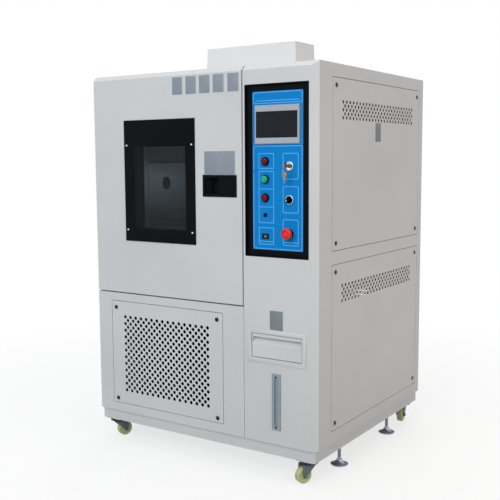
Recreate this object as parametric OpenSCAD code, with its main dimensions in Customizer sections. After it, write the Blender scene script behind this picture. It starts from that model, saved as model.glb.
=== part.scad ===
// Environmental test chamber: a floor-standing cabinet with an insulated door, a control column,
// a machine compartment behind a perforated grille, casters and levelling feet.
// The front faces -Y, +X is to the right of someone who faces it, and +Z is up.

/* [Cabinet] */
// Insulated wall at each side of the test space
wall_side = 83; // [70:1:100]
// Insulated wall above and below the test space
wall_end = 98.25; // [85:0.25:115]
// Space for the pipes between the insulation and the rear sheet
rear_space = 78; // [60:1:100]
// Thickness of the painted sheet
sheet = 1.5; // [1:0.1:2]
// Bevel along the top and the right edge of the front
bevel = 16; // [8:1:22]
// Small bevel along the front's edge at the hinge side
hinge_bevel = 2; // [1:0.5:6]
// Height of the plinth tray
plinth_h = 40; // [30:1:60]
// How far the plinth stands in from the casing
plinth_inset = 7; // [3:1:12]
// Wall of the plinth tray
plinth_wall = 3; // [2:0.5:5]
// Clear height under the plinth
ground_gap = 78; // [76:1:86]
// Seam between neighbouring sheets
seam = 1.5; // [1:0.1:2.5]

/* [Front layout] */
// Width of the control column
column_w = 279.5; // [265:0.5:300]
// Height of the front below the door
lower_h = 456.5; // [440:0.5:480]
// Gap between the door and the column
door_side_gap = 4.5; // [3:0.5:7]
// Gap under the door
door_foot_gap = 5; // [3:0.5:8]

/* [Door] */
// Thickness of the door slab
door_t = 75; // [65:1:90]
// Space for the gasket between the slab and the cabinet
seal_gap = 5; // [4:0.5:8]
// Thickness of the step that reaches into the mouth
plug_t = 14; // [8:1:20]
// Gap between that step and the chamber walls
plug_gap = 8; // [5:1:15]
// Height of the window plate
window_h = 438; // [400:1:460]
// Distance from the door's hinge edge to the window plate
window_left = 148.5; // [130:0.5:170]
// Distance from the door's free edge to the window plate
window_right = 193.5; // [180:0.5:220]
// Distance from the door's top to the window plate
window_drop = 163.5; // [140:0.5:180]
// Dark border at each side of the view
view_side = 42; // [30:1:55]
// Dark border above the view
view_head = 95; // [60:1:120]
// Dark border below the view
view_foot = 48; // [30:1:60]
// Thickness of each glass pane
pane_t = 5; // [4:0.5:6]

/* [Handle] */
// Width of the recessed handle
handle_w = 141; // [125:1:155]
// Height of the recessed handle
handle_h = 74.5; // [65:0.5:85]
// Distance from the door's free edge to the handle
handle_edge = 20.5; // [15:0.5:30]
// Distance from the door's top to the middle of the handle
handle_drop = 395; // [370:1:420]
// Depth of the handle's bowl
bowl_d = 28; // [24:1:34]
// Length of the paddle
paddle_l = 60; // [50:1:66]

/* [Chamber] */
// Inside width of the test space
chamber_w = 500; // [480:1:510]
// Inside height of the test space
chamber_h = 600; // [580:1:620]
// Inside depth of the test space, up to the air baffle
chamber_d = 475; // [450:1:490]
// Depth of the air duct behind the baffle
duct_d = 152; // [145:1:160]
// Thickness of the stainless lining
liner_t = 1.2; // [1:0.1:2]
// Insulation behind the duct
rear_foam = 80; // [60:1:95]
// Height of the lower shelf above the chamber floor
shelf_1 = 170; // [120:1:220]
// Height of the upper shelf above the chamber floor
shelf_2 = 380; // [330:1:430]

/* [Control panel] */
// Distance from the casing's top to the surround
surround_drop = 64; // [50:1:80]
// Distance from the column's outer side to the surround
surround_side = 29.5; // [24:0.5:32]
// Distance from the column's inner side to the surround
surround_inner = 8; // [7:0.5:14]
// Depth at which the blue panel lies
panel_depth = 9; // [6:0.5:12]
// Visible dark border beside the blue panel
panel_side = 25.5; // [20:0.5:30]
// Visible dark border above and below the blue panel
panel_end = 23.5; // [18:0.5:30]
// Thickness of the blue panel
panel_t = 2; // [1.5:0.5:3]
// Distance of each column of switches from the panel's side
switch_in = 48.8; // [42:0.1:54]
// Distance from the panel's top to the lamp
lamp_drop = 225.5; // [210:0.5:240]
// Distance from the lamp to the start button
start_drop = 58; // [50:0.5:66]
// Distance from the start button to the buzzer
buzzer_drop = 60.5; // [50:0.5:66]
// Distance from the buzzer to the jack
jack_drop = 57; // [48:0.5:66]
// Distance from the jack to the data port
port_drop = 70; // [60:0.5:80]
// Distance from the data port to the panel's foot
port_foot = 44; // [36:0.5:52]
// Distance from the panel's top to the key switch
key_drop = 240.5; // [225:0.5:250]
// Distance from the key switch to the selector
selector_drop = 108; // [95:0.5:115]
// Distance from the selector to the mushroom head
stop_drop = 108.5; // [95:0.5:115]
// Bore of the switch holes
switch_hole = 22.3; // [22.2:0.1:22.6]
// Diameter of the switch rings
ring_d = 29; // [27:0.5:31]
// Diameter of the mushroom head
mushroom_d = 36; // [34:1:44]
// Distance from the panel's top to the touch screen housing
screen_drop = 44.5; // [36:0.5:56]
// Blue border at each side of the touch screen housing
screen_side = 11; // [8:0.5:16]
// Height of the touch screen housing
screen_h = 125; // [115:1:135]
// Border of the housing at each side of the glass
glass_side = 6; // [5:0.5:12]
// Height of the glass of the touch screen
glass_h = 85; // [75:1:90]

/* [Water drawer and gauge] */
// How far the drawer front stands in from each side of the surround
drawer_in = 25; // [22:0.5:32]
// Height of the drawer front
drawer_h = 79; // [75:1:85]
// Distance from the casing's foot to the drawer front
drawer_lift = 292.5; // [280:0.5:310]
// How far the drawer slides out
drawer_travel = 150; // [120:1:170]
// Length of the drawer tray
tray_l = 230; // [210:1:260]
// Width of the level gauge
gauge_w = 33; // [28:1:40]
// Height of the level gauge
gauge_h = 191; // [180:1:200]
// Distance from the casing's foot to the level gauge
gauge_lift = 52; // [40:1:70]

/* [Perforated panels] */
// Distance from the casing's side to the grille panel
grille_left = 69; // [55:1:80]
// Distance from the column to the grille panel
grille_right = 89.5; // [75:0.5:100]
// Distance from the casing's foot to the grille panel
grille_lift = 34.5; // [28:0.5:42]
// Distance from the top of the lower front to the grille panel
grille_head = 31; // [25:0.5:40]
// Pitch of the holes in the grille panel
grille_pitch = 25.5; // [24:0.1:26]
// Diameter of the holes in the grille panel
grille_hole = 13; // [8:0.5:14]
// Holes in a long row of the grille panel
grille_cols = 16; // [12:1:17]
// Long rows in the grille panel
grille_rows = 12; // [8:1:13]
// Distance from the front to the removable side panels
side_front = 104.5; // [90:0.5:120]
// Distance from the rear to the removable side panels
side_rear = 38.5; // [30:0.5:50]
// Distance between the lower and the upper side panel
side_between = 48; // [40:1:60]
// Height of the lower side panel above the casing's foot
side_lift = 43; // [35:1:48]
// Distance from the casing's top to the upper side panel
side_drop = 45; // [35:1:55]
// Pitch of the holes in a side panel
side_pitch = 25; // [24:0.1:26]
// Diameter of the holes in a side panel
side_hole = 12; // [8:0.5:13]
// Holes in a long row of a side panel
side_cols = 24; // [20:1:26]
// Diameter of the black panel screws
screw_d = 15; // [9:0.5:16]
// How far the screws stand in from a panel's edge
screw_inset = 24; // [20:1:28]

/* [Motor cover] */
// Width of the motor cover at its foot
cover_w = 436; // [400:1:460]
// Depth of the motor cover at its foot
cover_d = 159; // [150:1:170]
// Height of the motor cover
cover_h = 152; // [145:1:165]
// How far each side of the cover leans in
cover_lean = 6; // [0:0.5:10]

/* [Casters and feet] */
// Diameter of the caster wheels
wheel_d = 55; // [50:1:58]
// Width of the caster wheels
wheel_w = 22; // [18:1:26]
// Trail of the caster wheels
trail = 24; // [20:1:28]
// How far the caster pivots stand in from the casing's sides
caster_side = 50; // [46:1:64]
// How far the caster pivots stand in from the front and the back
caster_end = 42; // [42:1:50]
// Diameter of the levelling foot's base
foot_d = 62; // [54:1:70]
// Diameter of the levelling foot's rod
rod_d = 12; // [10:1:14]
// How far the feet stand in from the casing's sides
foot_side = 35; // [33:1:40]
// How far the feet stand in from the front and the back
foot_end = 232; // [200:1:260]

/* [Fits] */
// Radial play of a turning or sliding shaft
play = 0.06; // [0.03:0.01:0.09]
// Clearance between bodies that move past each other
clear = 0.6; // [0.4:0.1:1]

/* [Hidden] */
$fn = 48;

// Colours, as the photograph shows them
paint = [0.83, 0.84, 0.84];
steel = [0.72, 0.73, 0.74];
dark = [0.08, 0.08, 0.09];
panel_blue = [0.09, 0.45, 0.75];
bezel_grey = [0.66, 0.67, 0.70];
foam_tone = [0.86, 0.80, 0.62];
copper = [0.72, 0.45, 0.30];
zinc = [0.50, 0.53, 0.55];
wheel_tone = [0.72, 0.74, 0.53];

// Overall width, depth and height of the casing, from the test space outwards
front_d = door_t + seal_gap;
body_w = 2 * wall_side + chamber_w + door_side_gap + column_w;
body_d = front_d + chamber_d + duct_d + rear_foam + rear_space;
body_h = lower_h + door_foot_gap + 2 * wall_end + chamber_h;

// Planes of the casing
x_left = -body_w / 2;
x_right = body_w / 2;
z_foot = ground_gap + plinth_h;
z_top = z_foot + body_h;
column_x = x_right - column_w;
door_x = column_x - door_side_gap;
low_top = z_foot + lower_h;
door_foot = low_top + door_foot_gap;
door_cx = (x_left + door_x) / 2;
door_cz = (door_foot + z_top) / 2;

// Planes of the chamber
in_x0 = door_cx - chamber_w / 2;
in_x1 = door_cx + chamber_w / 2;
in_z0 = door_cz - chamber_h / 2;
in_z1 = door_cz + chamber_h / 2;
baffle_y = front_d + chamber_d;
duct_back = baffle_y + duct_d;
foam_back = duct_back + rear_foam;
frame_x = column_x - sheet;
fan_y = (baffle_y + duct_back) / 2;
lip_t = 2;
deck_t = 2;

// The window, the handle and the hinge line
win_x0 = x_left + window_left;
win_x1 = door_x - window_right;
win_z1 = z_top - window_drop;
win_z0 = win_z1 - window_h;
view_x0 = win_x0 + view_side;
view_x1 = win_x1 - view_side;
view_z0 = win_z0 + view_foot;
view_z1 = win_z1 - view_head;
plate_proud = 2;
plate_back = 4;
tunnel_t = 3;
trim_y = door_t - 17;
han_x1 = door_x - handle_edge;
han_x0 = han_x1 - handle_w;
han_z = z_top - handle_drop;
flange = 10;
tray_t = 2.5;
paddle_t = 7;
paddle_front = -1;
paddle_pin_r = 2.5;
barrel_r = 5.5;
paddle_x = han_x1 - flange - barrel_r - clear;
paddle_y = paddle_front + barrel_r;
hinge_out = 10;
hinge_x = x_left - hinge_out;
hinge_y = front_d - 2.5;
hinge_r = 8;
hinge_pin_r = 5;
hinge_leaf = 4;
hinge_len = 84;
hinge_inset = 90;
knuckle_gap = 1;

// The control column
surround_w = column_w - surround_side - surround_inner;
surround_h = 2 * panel_end + lamp_drop + start_drop + buzzer_drop + jack_drop + port_drop + port_foot;
panel_w = surround_w - 2 * panel_side;
screen_w = panel_w - 2 * screen_side;
glass_w = screen_w - 2 * glass_side;
switch_x = panel_w / 2 - switch_in;
sur_x1 = x_right - surround_side;
sur_x0 = sur_x1 - surround_w;
sur_z1 = z_top - surround_drop;
sur_z0 = sur_z1 - surround_h;
pan_cx = (sur_x0 + sur_x1) / 2;
pan_z0 = sur_z0 + panel_end;
pan_z1 = sur_z1 - panel_end;
surround_floor = panel_depth + panel_t;
surround_back = surround_floor + 2;
left_sw = pan_cx - switch_x;
right_sw = pan_cx + switch_x;
lamp_z = pan_z1 - lamp_drop;
start_z = lamp_z - start_drop;
buzzer_z = start_z - buzzer_drop;
jack_z = buzzer_z - jack_drop;
port_z = jack_z - port_drop;
key_z = pan_z1 - key_drop;
selector_z = key_z - selector_drop;
stop_z = selector_z - stop_drop;
screen_z1 = pan_z1 - screen_drop;
screen_z0 = screen_z1 - screen_h;
screen_front = 2;
glass_head = 20;
ring_front = panel_depth - 4;
barrel_back = surround_back + 36;
start_travel = 3;
stop_travel = 5;
stop_front = -21;

// The drawer and the gauge
drawer_w = surround_w - 2 * drawer_in;
drw_x0 = pan_cx - drawer_w / 2;
drw_x1 = pan_cx + drawer_w / 2;
drw_z0 = z_foot + drawer_lift;
drw_z1 = drw_z0 + drawer_h;
drw_gap = 2;
emboss_w = 17;
emboss_t = 1.5;
scoop_d = 15;
ledge_h = 10;
scoop_h = 34;
front_t = 22;
tray_side = 6;
tray_lift = 4;
runner_w = 12;
runner_t = 2;
runner_gap = 0.3;
gau_z0 = z_foot + gauge_lift;
gau_z1 = gau_z0 + gauge_h;
gauge_t = 4;

// The removable panels
grille_w = column_x - x_left - grille_left - grille_right;
grille_h = lower_h - grille_lift - grille_head;
gri_x0 = x_left + grille_left;
gri_x1 = gri_x0 + grille_w;
gri_z0 = z_foot + grille_lift;
gri_z1 = gri_z0 + grille_h;
fit_gap = 2;
rebate = 18;
rebate_d = 10;
side_w = body_d - side_front - side_rear;
side_h = (body_h - side_lift - side_drop - side_between) / 2;
side_y0 = side_front;
low_side_z0 = z_foot + side_lift;
high_side_z0 = z_top - side_drop - side_h;
strip_drop = 101;
strip_rows = 5;

// Machine compartment
coil_y0 = front_d + 12;
coil_t = 44;
shroud_y = coil_y0 + coil_t;
cfan_x = gri_x0 + grille_w / 2;
cfan_z = gri_z0 + grille_h / 2;
cfan_margin = 45.5;
cfan_r = grille_h / 2 - cfan_margin;
cfan_y = shroud_y + 30;
motor_y = cfan_y + 34;

// Casters and feet
plate_t = 3;
caster_plate = 64;
swivel_r = 31;
wheel_r = wheel_d / 2;
fork_top = ground_gap - plate_t - 0.4;
fork_in = wheel_w / 2 + 1.5;
fork_t = 2.5;
kingpin_r = 5;
axle_r = 4;
foot_h = 21;
foot_nut = 12;
foot_travel = 20;
caster_x = body_w / 2 - caster_side;
foot_x = body_w / 2 - foot_side;
turn_front_left = 70;
turn_front_right = -115;
turn_rear_left = 20;
turn_rear_right = -80;

// The shaft of the fan, the fittings at the rear, the cable port and the door's cable
shaft_r = 6;
gland_in = 44;
gland_x = frame_x - gland_in;
drain_in = 295;
drain_x = x_left + drain_in;
fitting_z = z_foot + 90;
fitting_out = 22;
gland_r = 11;
gland_bore = 7;
spout_r = 8;
spout_bore = 5;
port_r = 25;
port_y = front_d + chamber_d / 2;
cable_r = 6.5;
cable_bend = 22.5;
cable_ring = 5;
cable_gap = 0.4;
cable_y = 43;
cable_z = door_foot + 7.5;
screw_proud = 2.5;
key_reach = 16;
key_front = ring_front - 1 - 2 * key_reach;

// The frame's origin is the middle of the footprint of everything, on the floor
cable_out = cable_ring + cable_gap + cable_bend + cable_r;
shift_x = (cable_out - screw_proud) / 2;
shift_y = -(body_d + fitting_out + key_front) / 2;

// Shapes used by more than one piece
module block(lo, hi) {
    translate(lo) cube([hi[0] - lo[0], hi[1] - lo[1], hi[2] - lo[2]]);
}

module rod_x(r, x0, x1, y, z) {
    translate([x0, y, z]) rotate([0, 90, 0]) cylinder(r = r, h = x1 - x0);
}

module rod_y(r, y0, y1, x, z) {
    translate([x, y1, z]) rotate([90, 0, 0]) cylinder(r = r, h = y1 - y0);
}

module rod_z(r, z0, z1, x, y) {
    translate([x, y, z0]) cylinder(r = r, h = z1 - z0);
}

// A flat ring: the plate between an outer and an inner rectangle, from y0 to y1
module frame_plate(x0, x1, z0, z1, y0, y1, border) {
    difference() {
        block([x0, y0, z0], [x1, y1, z1]);
        block([x0 + border, y0 - 1, z0 + border], [x1 - border, y1 + 1, z1 - border]);
    }
}

// A slab whose front edges are bevelled at the left, the right and the top
module bevelled_slab(x0, x1, z0, z1, y0, y1, left, right, top) {
    intersection() {
        translate([0, 0, z0]) linear_extrude(z1 - z0) polygon(concat(
            left > 0 ? [[x0, y0 + left], [x0 + left, y0]] : [[x0, y0]],
            right > 0 ? [[x1 - right, y0], [x1, y0 + right]] : [[x1, y0]],
            [[x1, y1], [x0, y1]]));
        translate([x0, 0, 0]) rotate([90, 0, 90]) linear_extrude(x1 - x0) polygon(concat(
            [[y0, z0], [y1, z0], [y1, z1]],
            top > 0 ? [[y0 + top, z1], [y0, z1 - top]] : [[y0, z1]]));
    }
}

// A folded pan of sheet, open at the back, with the same bevels inside and out
function inner_bevel(c) = c > 0 ? c - sheet * (2 - sqrt(2)) : 0;

module bevelled_pan(x0, x1, z0, z1, depth, left, right, top) {
    difference() {
        bevelled_slab(x0, x1, z0, z1, 0, depth, left, right, top);
        bevelled_slab(x0 + sheet, x1 - sheet, z0 + sheet, z1 - sheet, sheet, depth + 1,
            inner_bevel(left), inner_bevel(right), inner_bevel(top));
    }
}

// Holes in staggered rows, centred on the origin of a plane, seen as circles
module staggered_holes(cols, rows, pitch, step, d) {
    for (r = [0 : rows - 1]) {
        count = cols - r % 2;
        for (c = [0 : count - 1])
            translate([(c - (count - 1) / 2) * pitch, (r - (rows - 1) / 2) * step]) circle(d = d, $fn = 24);
    }
}

// A perforated panel in its own plane: a sheet with its edges folded back
module perforated_panel(w, h, fold, cols, rows, pitch, step, d, lift) {
    linear_extrude(sheet) difference() {
        square([w, h], center = true);
        translate([0, lift]) staggered_holes(cols, rows, pitch, step, d);
    }
    translate([0, 0, sheet - 0.01]) linear_extrude(fold - sheet + 0.01) difference() {
        square([w, h], center = true);
        square([w - 2 * sheet, h - 2 * sheet], center = true);
    }
}

// Plinth tray with the caster plates and the nuts of the levelling feet
module base_frame() {
    x0 = x_left + plinth_inset;
    y0 = plinth_inset;
    y1 = body_d - plinth_inset;
    color(paint) difference() {
        union() {
            difference() {
                block([x0, y0, ground_gap], [-x0, y1, z_foot]);
                block([x0 + plinth_wall, y0 + plinth_wall, ground_gap + plinth_wall],
                    [-x0 - plinth_wall, y1 - plinth_wall, z_foot + 1]);
            }
            for (s = [-1, 1], y = [caster_end, body_d - caster_end])
                block([s * caster_x - caster_plate / 2, y - caster_plate / 2, ground_gap - plate_t],
                    [s * caster_x + caster_plate / 2, y + caster_plate / 2, ground_gap + 1]);
            for (s = [-1, 1], y = [foot_end, body_d - foot_end])
                rod_z(rod_d, ground_gap, ground_gap + plinth_wall + foot_nut, s * foot_x, y);
        }
        for (s = [-1, 1], y = [caster_end, body_d - caster_end])
            rod_z(kingpin_r + play, ground_gap - plate_t - 1, ground_gap + plinth_wall + 1, s * caster_x, y);
        for (s = [-1, 1], y = [foot_end, body_d - foot_end])
            rod_z(rod_d / 2 + play, ground_gap - 1, ground_gap + plinth_wall + foot_nut + 1, s * foot_x, y);
    }
}

// Deck of the machine compartment, chamber floor and the wall beside the column
module inner_frame() {
    color(steel) {
        block([x_left + sheet, front_d, z_foot], [x_right - sheet, body_d - sheet, z_foot + deck_t]);
        block([x_left + sheet, front_d, door_foot - deck_t], [frame_x - deck_t, body_d - sheet, door_foot]);
        block([frame_x - deck_t, front_d, z_foot + deck_t], [frame_x, body_d - sheet, z_top - sheet]);
    }
}

// Left side and roof in one folded sheet, with the holes of the cable port and the fan's shaft
module casing_wrap() {
    color(paint) difference() {
        union() {
            block([x_left, front_d, z_foot], [x_left + sheet, body_d, z_top]);
            block([x_left, body_d - sheet, z_foot], [x_left + rebate, body_d, z_top]);
            block([x_left, front_d, z_top - sheet], [x_right - sheet, body_d - sheet, z_top]);
        }
        rod_x(port_r + 2, x_left - 1, x_left + sheet + 1, port_y, door_cz);
        rod_z(shaft_r + 6, z_top - sheet - 1, z_top + 1, door_cx, fan_y);
    }
}

// Opening and rebate of one removable panel in the right side
module side_opening(z0) {
    block([x_right - sheet - 1, side_y0 - fit_gap, z0 - fit_gap],
        [x_right + 1, side_y0 + side_w + fit_gap, z0 + side_h + fit_gap]);
}

module side_rebate(z0) {
    x1 = x_right - sheet - rebate_d;
    y0 = side_y0 - fit_gap - sheet;
    y1 = side_y0 + side_w + fit_gap + sheet;
    za = z0 - fit_gap - sheet;
    zb = z0 + side_h + fit_gap + sheet;
    difference() {
        block([x1 - sheet, y0, za], [x_right, y1, zb]);
        block([x1, y0 + sheet, za + sheet], [x_right + 1, y1 - sheet, zb - sheet]);
        block([x1 - sheet - 1, y0 + rebate, za + rebate], [x_right + 1, y1 - rebate, zb - rebate]);
    }
}

module right_frame() {
    color(paint) {
        difference() {
            union() {
                block([x_right - sheet, bevel, z_foot], [x_right, body_d, z_top]);
                block([x_right - rebate, body_d - sheet, z_foot], [x_right, body_d, z_top]);
            }
            side_opening(low_side_z0);
            side_opening(high_side_z0);
        }
        side_rebate(low_side_z0);
        side_rebate(high_side_z0);
    }
}

// The two removable side panels, each with its strip of holes
module side_panels() {
    for (z0 = [low_side_z0, high_side_z0])
        color(paint) translate([x_right, side_y0 + side_w / 2, z0 + side_h / 2]) rotate([90, 0, -90])
            perforated_panel(side_w, side_h, sheet + rebate_d, side_cols, strip_rows, side_pitch,
                side_pitch * 0.515, side_hole, side_h / 2 - strip_drop);
}

// Rear sheet with rows of slots for the machine compartment
module rear_panel() {
    slot_w = 90;
    slot_h = 6;
    slot_pitch = 18;
    color(paint) difference() {
        block([x_left + rebate, body_d - sheet, z_foot], [x_right - rebate, body_d, z_top]);
        for (i = [-2 : 1], k = [0 : 9])
            translate([(i + 0.5) * (slot_w + 40), body_d, low_top - 60 - k * slot_pitch])
                cube([slot_w, 4 * sheet, slot_h], center = true);
        for (x = [gland_x, drain_x])
            rod_y(gland_r, body_d - sheet - 1, body_d + 1, x, fitting_z);
    }
}

// Power cable gland and drain spout at the rear, and the ring of the door's cable at the left
module service_fittings() {
    inside = 20;
    color(dark) difference() {
        union() {
            rod_y(gland_r, body_d - inside, body_d + fitting_out, gland_x, fitting_z);
            rod_y(gland_r + 4, body_d, body_d + 6, gland_x, fitting_z);
            rod_y(gland_r + 4, body_d - sheet - 6, body_d - sheet, gland_x, fitting_z);
        }
        rod_y(gland_bore, body_d - inside - 1, body_d + fitting_out + 1, gland_x, fitting_z);
    }
    color(steel) difference() {
        union() {
            rod_y(gland_r, body_d - inside, body_d, drain_x, fitting_z);
            rod_y(gland_r + 4, body_d, body_d + 2, drain_x, fitting_z);
            rod_y(gland_r + 4, body_d - sheet - 6, body_d - sheet, drain_x, fitting_z);
            rod_y(spout_r, body_d, body_d + fitting_out, drain_x, fitting_z);
        }
        rod_y(spout_bore, body_d - inside - 1, body_d + fitting_out + 1, drain_x, fitting_z);
    }
    color(dark) rod_x(cable_r + 3, x_left - cable_ring, x_left, cable_y, cable_z - cable_bend);
}

// Front of the control column: bevelled pan with the openings of the controls and the drawer
module column_front() {
    color(paint) difference() {
        union() {
            bevelled_pan(column_x, x_right, z_foot, z_top, front_d, 0, bevel, bevel);
            block([drw_x0 - emboss_w, -emboss_t, drw_z0 - emboss_w],
                [drw_x1 + emboss_w, sheet, drw_z1 + emboss_w]);
        }
        block([x_right - sheet - 0.5, bevel, z_foot - 1], [x_right + 1, front_d + 1, z_top + 1]);
        block([sur_x0 - 0.5, -1, sur_z0 - 0.5], [sur_x1 + 0.5, sheet + 1, sur_z1 + 0.5]);
        block([drw_x0 - drw_gap, -emboss_t - 1, drw_z0 - drw_gap],
            [drw_x1 + drw_gap, sheet + 1, drw_z1 + drw_gap]);
        block([pan_cx - gauge_w / 2 + 6, -1, gau_z0 + 12], [pan_cx + gauge_w / 2 - 6, sheet + 1, gau_z1 - 12]);
    }
    color(zinc) for (s = [0, 1]) {
        x = s == 0 ? drw_x0 + tray_side : drw_x1 - tray_side - runner_w;
        xw = s == 0 ? x : x + runner_w - runner_t;
        block([xw, sheet, drw_z0 - runner_w], [xw + runner_t, tray_l, drw_z0 - runner_gap]);
        block([x, front_t + clear, drw_z0 - runner_gap - 0.01],
            [x + runner_w, tray_l, drw_z0 + tray_lift - runner_gap]);
    }
}

// Front below the door, with the rebated opening of the grille
module lower_front() {
    color(paint) {
        difference() {
            bevelled_pan(x_left, column_x - seam, z_foot, low_top, front_d, hinge_bevel, 0, 0);
            block([gri_x0 - fit_gap, -1, gri_z0 - fit_gap], [gri_x1 + fit_gap, sheet + 1, gri_z1 + fit_gap]);
        }
        difference() {
            block([gri_x0 - fit_gap - sheet, 0, gri_z0 - fit_gap - sheet],
                [gri_x1 + fit_gap + sheet, sheet + rebate_d + sheet, gri_z1 + fit_gap + sheet]);
            block([gri_x0 - fit_gap, -1, gri_z0 - fit_gap],
                [gri_x1 + fit_gap, sheet + rebate_d, gri_z1 + fit_gap]);
            block([gri_x0 + rebate, -1, gri_z0 + rebate], [gri_x1 - rebate, front_d, gri_z1 - rebate]);
        }
    }
}

module front_grille() {
    color(paint) translate([(gri_x0 + gri_x1) / 2, 0, (gri_z0 + gri_z1) / 2]) rotate([-90, 0, 0])
        perforated_panel(grille_w, grille_h, sheet + rebate_d, grille_cols, 2 * grille_rows - 1,
            grille_pitch, grille_pitch / 2, grille_hole, 2.5);
}

// Round-headed screws of the removable panels
module panel_screw() {
    cylinder(d = screw_d, h = screw_proud - 1);
    translate([0, 0, screw_proud - 1]) cylinder(d1 = screw_d, d2 = screw_d - 3, h = 1, $fn = 32);
}

module panel_screws() {
    color(dark) {
        for (x = [gri_x0 + screw_inset - 3, gri_x1 - screw_inset], z = [gri_z0 + 16, gri_z1 - screw_inset])
            translate([x, 0, z]) rotate([90, 0, 0]) panel_screw();
        for (z0 = [low_side_z0, high_side_z0], y = [screw_inset, side_w - screw_inset],
            z = [screw_inset, side_h - screw_inset])
            translate([x_right, side_y0 + y, z0 + z]) rotate([0, 90, 0]) panel_screw();
    }
}

// Stainless lining of the test space and the duct, with the flange that the door closes on
module inner_liner() {
    color(steel) difference() {
        union() {
            block([in_x0 - liner_t, front_d, in_z0 - liner_t],
                [in_x1 + liner_t, duct_back + liner_t, in_z1 + liner_t]);
            block([x_left + sheet, front_d, door_foot], [frame_x - deck_t, front_d + lip_t, z_top - sheet]);
        }
        block([in_x0, front_d - 1, in_z0], [in_x1, duct_back, in_z1]);
        rod_z(shaft_r + 6, in_z1 - 1, in_z1 + liner_t + 1, door_cx, fan_y);
        rod_x(port_r + 1, in_x0 - liner_t - 1, in_x0 + 1, port_y, door_cz);
    }
}

module insulation() {
    color(foam_tone) difference() {
        block([x_left + sheet, front_d + lip_t, door_foot], [frame_x - deck_t, foam_back, z_top - sheet]);
        block([in_x0 - liner_t, front_d, in_z0 - liner_t],
            [in_x1 + liner_t, duct_back + liner_t, in_z1 + liner_t]);
        rod_z(shaft_r + 6, in_z1, z_top, door_cx, fan_y);
        rod_x(port_r + 1, x_left, in_x0, port_y, door_cz);
    }
}

// Two wire shelves on four angle rails
module wire_shelves() {
    rail = 12;
    wire_r = 3;
    bar_r = 1.5;
    bars = 13;
    y0 = front_d + 30;
    y1 = baffle_y - 15;
    x0 = in_x0 + 8;
    x1 = in_x1 - 8;
    color(steel) for (lift = [shelf_1, shelf_2]) {
        z = in_z0 + lift;
        for (s = [0, 1]) {
            xa = s == 0 ? in_x0 : in_x1 - rail;
            xb = s == 0 ? in_x0 : in_x1 - liner_t;
            block([xa, y0 - 10, z - liner_t], [xa + rail, y1 + 10, z]);
            block([xb, y0 - 10, z - rail], [xb + liner_t, y1 + 10, z]);
        }
        for (y = [y0, y1]) rod_x(wire_r, x0, x1, y, z + wire_r);
        for (x = [x0, x1]) rod_y(wire_r, y0, y1, x, z + wire_r);
        for (k = [1 : bars])
            rod_y(bar_r, y0, y1, x0 + k * (x1 - x0) / (bars + 1), z + wire_r);
    }
}

// Baffle in front of the duct: outlet slots at the top and an intake at the foot
module air_baffle() {
    slots = 4;
    slot_h = 10;
    slot_gap = 22;
    slot_margin = 26;
    slot_pitch = 22;
    slot_l = (chamber_w - 2 * slot_margin) / slots - slot_gap;
    color(steel) difference() {
        block([in_x0, baffle_y, in_z0 + 40], [in_x1, baffle_y + liner_t, in_z1]);
        for (i = [-2 : 1], k = [0 : 2])
            translate([door_cx + (i + 0.5) * (slot_l + slot_gap), baffle_y, in_z1 - 40 - k * slot_pitch])
                cube([slot_l, 6 * liner_t, slot_h], center = true);
    }
}

// Evaporator at the foot of the duct and the heater rods above it
module duct_coils() {
    x0 = in_x0 + 30;
    x1 = in_x1 - 30;
    z0 = in_z0 + 60;
    z1 = z0 + 150;
    y0 = baffle_y + 20;
    y1 = duct_back - 20;
    fins = 15;
    color(steel) {
        for (k = [0 : fins - 1])
            translate([x0 + k * (x1 - x0) / (fins - 1), (y0 + y1) / 2, (z0 + z1) / 2])
                cube([1.2, y1 - y0, z1 - z0], center = true);
        for (z = [z0, z1 - 2])
            block([in_x0, y0, z], [in_x1, y1, z + 2]);
    }
    color(copper) for (i = [0 : 3], j = [0 : 1])
        rod_x(5, in_x0, in_x1, y0 + 30 + j * (y1 - y0 - 60), z0 + 20 + i * (z1 - z0 - 40) / 3);
    color(zinc) for (i = [0 : 2])
        rod_x(4, in_x0, in_x1, fan_y, z1 + 60 + i * 40);
}

// Motor that turns the fan: its flange stands on the roof
module fan_motor() {
    motor_r = 55;
    flange_r = 62;
    color(zinc) difference() {
        union() {
            rod_z(flange_r, z_top, z_top + 8, door_cx, fan_y);
            rod_z(motor_r, z_top + 8, z_top + 98, door_cx, fan_y);
            rod_z(motor_r - 12, z_top + 98, z_top + 112, door_cx, fan_y);
            for (a = [0 : 30 : 330])
                translate([door_cx, fan_y, z_top + 16]) rotate([0, 0, a])
                    translate([motor_r - 2, -1.5, 0]) cube([6, 3, 70]);
        }
        rod_z(shaft_r + play, z_top - 1, z_top + 61, door_cx, fan_y);
    }
}

// Tapered cover over the motor
module cover_form(w, d, h, lean) {
    intersection() {
        translate([door_cx, fan_y + d / 2 + 1, z_top]) rotate([90, 0, 0]) linear_extrude(d + 2)
            polygon([[-w / 2, 0], [w / 2, 0], [w / 2 - lean, h], [-w / 2 + lean, h]]);
        translate([door_cx - w / 2 - 1, fan_y, z_top]) rotate([90, 0, 90]) linear_extrude(w + 2)
            polygon([[-d / 2, 0], [d / 2, 0], [d / 2 - lean, h], [-d / 2 + lean, h]]);
    }
}

module motor_cover() {
    color(paint) difference() {
        cover_form(cover_w, cover_d, cover_h, cover_lean);
        translate([0, 0, -0.01])
            cover_form(cover_w - 2 * sheet, cover_d - 2 * sheet, cover_h - sheet, cover_lean);
    }
}

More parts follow.
